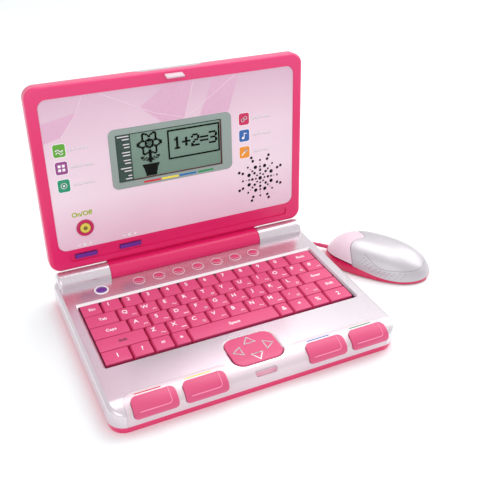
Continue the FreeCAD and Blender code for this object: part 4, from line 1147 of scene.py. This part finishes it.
def make_display_picture():
    """What the display shows, painted shade on the recess walls at its right and foot, a painted shadow
    under its top edge, and the coloured bars on its frame.
    """
    x0, x1, s0, s1 = SCREEN
    band = Print(in_lid(LCD_N))
    band.rect(x0 + 0.1, BAND_X, s0 + 0.1, s1 - 0.1)
    band.piece("display_band", "lcd_band", "lid", "lcd")
    marks = Print(in_lid(LCD_N), INK)
    for i, length in enumerate(BAND_STROKES):
        s = s1 - 2.6 - (i // 2) * PAIR_PITCH - (i % 2) * STROKE_PITCH
        marks.stroke([(BAND_X - 1.8 - length, s), (BAND_X - 1.8, s)], 0.95)
    marks.piece("display_marks", "white", "lid", "lcd")
    # Dark crimson strips at the screen's right side and foot: the pink recess walls, painted dark as shade.
    edge = Print(in_lid(LCD_N), INK)
    edge.rect(x1 - 1.2, x1 - 0.3, s0 + 0.2, s1 - 0.2)
    edge.rect(BAND_X, x1 - 1.2, s0 + 0.2, s0 + 1.0)
    edge.piece("display_wall_shade", "crimson_line", "lid", "lcd")
    dark = Print(in_lid(LCD_N))
    # Dark strip under the window's top edge: painted shadow.
    dark.rect(BAND_X, x1 - 1.4, s1 - 1.3, s1 - 0.6)
    left, right, foot, head = SUM_FRAME
    dark.stroke([(left, foot), (right, foot), (right, head), (left, head)], 1.7, True)
    for k, sign in enumerate(SUM):
        for j, line in enumerate(SIGNS[sign]):
            for i, bit in enumerate(line):
                if bit == "1":
                    x, s = SUM_X + k * SIGN_PITCH + i * DOT_PITCH_X, SUM_S - j * DOT_PITCH_S
                    dark.rect(x, x + DOT_W, s, s + DOT_H)
    pot_foot = s0 + 1.6
    for i in range(-15, 16):
        for j in range(0, 44):
            if flower_dark(i * PIXEL, j * PIXEL):
                x, s = FLOWER_X + i * PIXEL, pot_foot + j * PIXEL
                dark.rect(x - PIXEL / 2, x + PIXEL / 2, s, s + PIXEL)
    dark.piece("display_pixels_and_top_shadow", "pixel", "lid", "lcd")
    for colour, a, b in BARS:
        bar = Print(in_lid(BEZEL_N))
        bar.rounded(a, b, BARS_FOOT, BARS_HEAD, 0.4)
        bar.piece("display_bar_" + colour, colour, "lid", "bezel_grey")


# ---------------------------------------------------------------- mouse

def mouse_surface(tree, angle, z):
    """Point and outward normal of the mouse where a level line from outside meets it."""
    a = math.radians(angle) + MOUSE_TURN
    out = Vector((math.cos(a), math.sin(a), 0))
    start = (MOUSE_CENTRE + Vector((0, 0, z)) + out * 90) * MM
    place, normal, _, _ = tree.ray_cast(start, -out)
    return place, (normal if normal.dot(out) > 0 else -normal)


SEAM_TOP, SEAM_FALL = 23.2, 9.2
SEAM_FROM, SEAM_SPAN = 66.0, 50.0          # degrees from the nose over which it falls
DIMPLE_DROPS = (2.6, 5.0, 7.4)             # rows below the seam


def seam_height(angle):
    """Height of the line round the mouse: it falls from the button, then runs level to the tail."""
    t = min(1.0, max(0.0, (angle - SEAM_FROM) / SEAM_SPAN))
    return SEAM_TOP - SEAM_FALL * t * t * (3 - 2 * t)


def make_mouse_details():
    """Seam line and three rows of grip dimples on both sides of the mouse; the dimples are grey dots,
    painted shade in place of their hollows.
    """
    tree = tree_of("mouse_upper_shell")
    seam_angles = list(range(68, 181, 4))
    for name, side in (("left", 1), ("right", -1)):
        path = [mouse_surface(tree, side * a, seam_height(a))[0] for a in seam_angles]
        seam = tube_mesh("mouse_seam_" + name, centreline([p / MM for p in path]), 0.2 * MM, 8)
        add_mesh("mouse_seam_" + name, seam, INKS["groove"], "mouse")
    # Grey dots: painted shade in the dimples' hollows.
    dimples = bmesh.new()
    for row, drop in enumerate(DIMPLE_DROPS):
        for step in range(11):
            for side in (1, -1):
                angle = 72 + step * 7.4 - row * 3.2
                place, normal = mouse_surface(tree, side * angle, seam_height(angle) - drop)
                turn = normal.to_track_quat("Z", "Y").to_matrix().to_4x4()
                bmesh.ops.create_cone(dimples, cap_ends=True, segments=12, radius1=0.58 * MM,
                                      radius2=0.4 * MM, depth=0.12 * MM,
                                      matrix=Matrix.Translation(place) @ turn)
    mesh = mesh_of("mouse_dimples", dimples)
    add_mesh("mouse_dimples", mesh, INKS["groove"], "mouse")


make_camera()
make_stage()
make_cord()
make_tie()
make_keys()
make_front_details()
make_direction_marks()
make_deck_details()
make_barrel_rings()
make_icons()
make_panel_shards()
make_control_signs()
make_display_picture()
make_mouse_details()
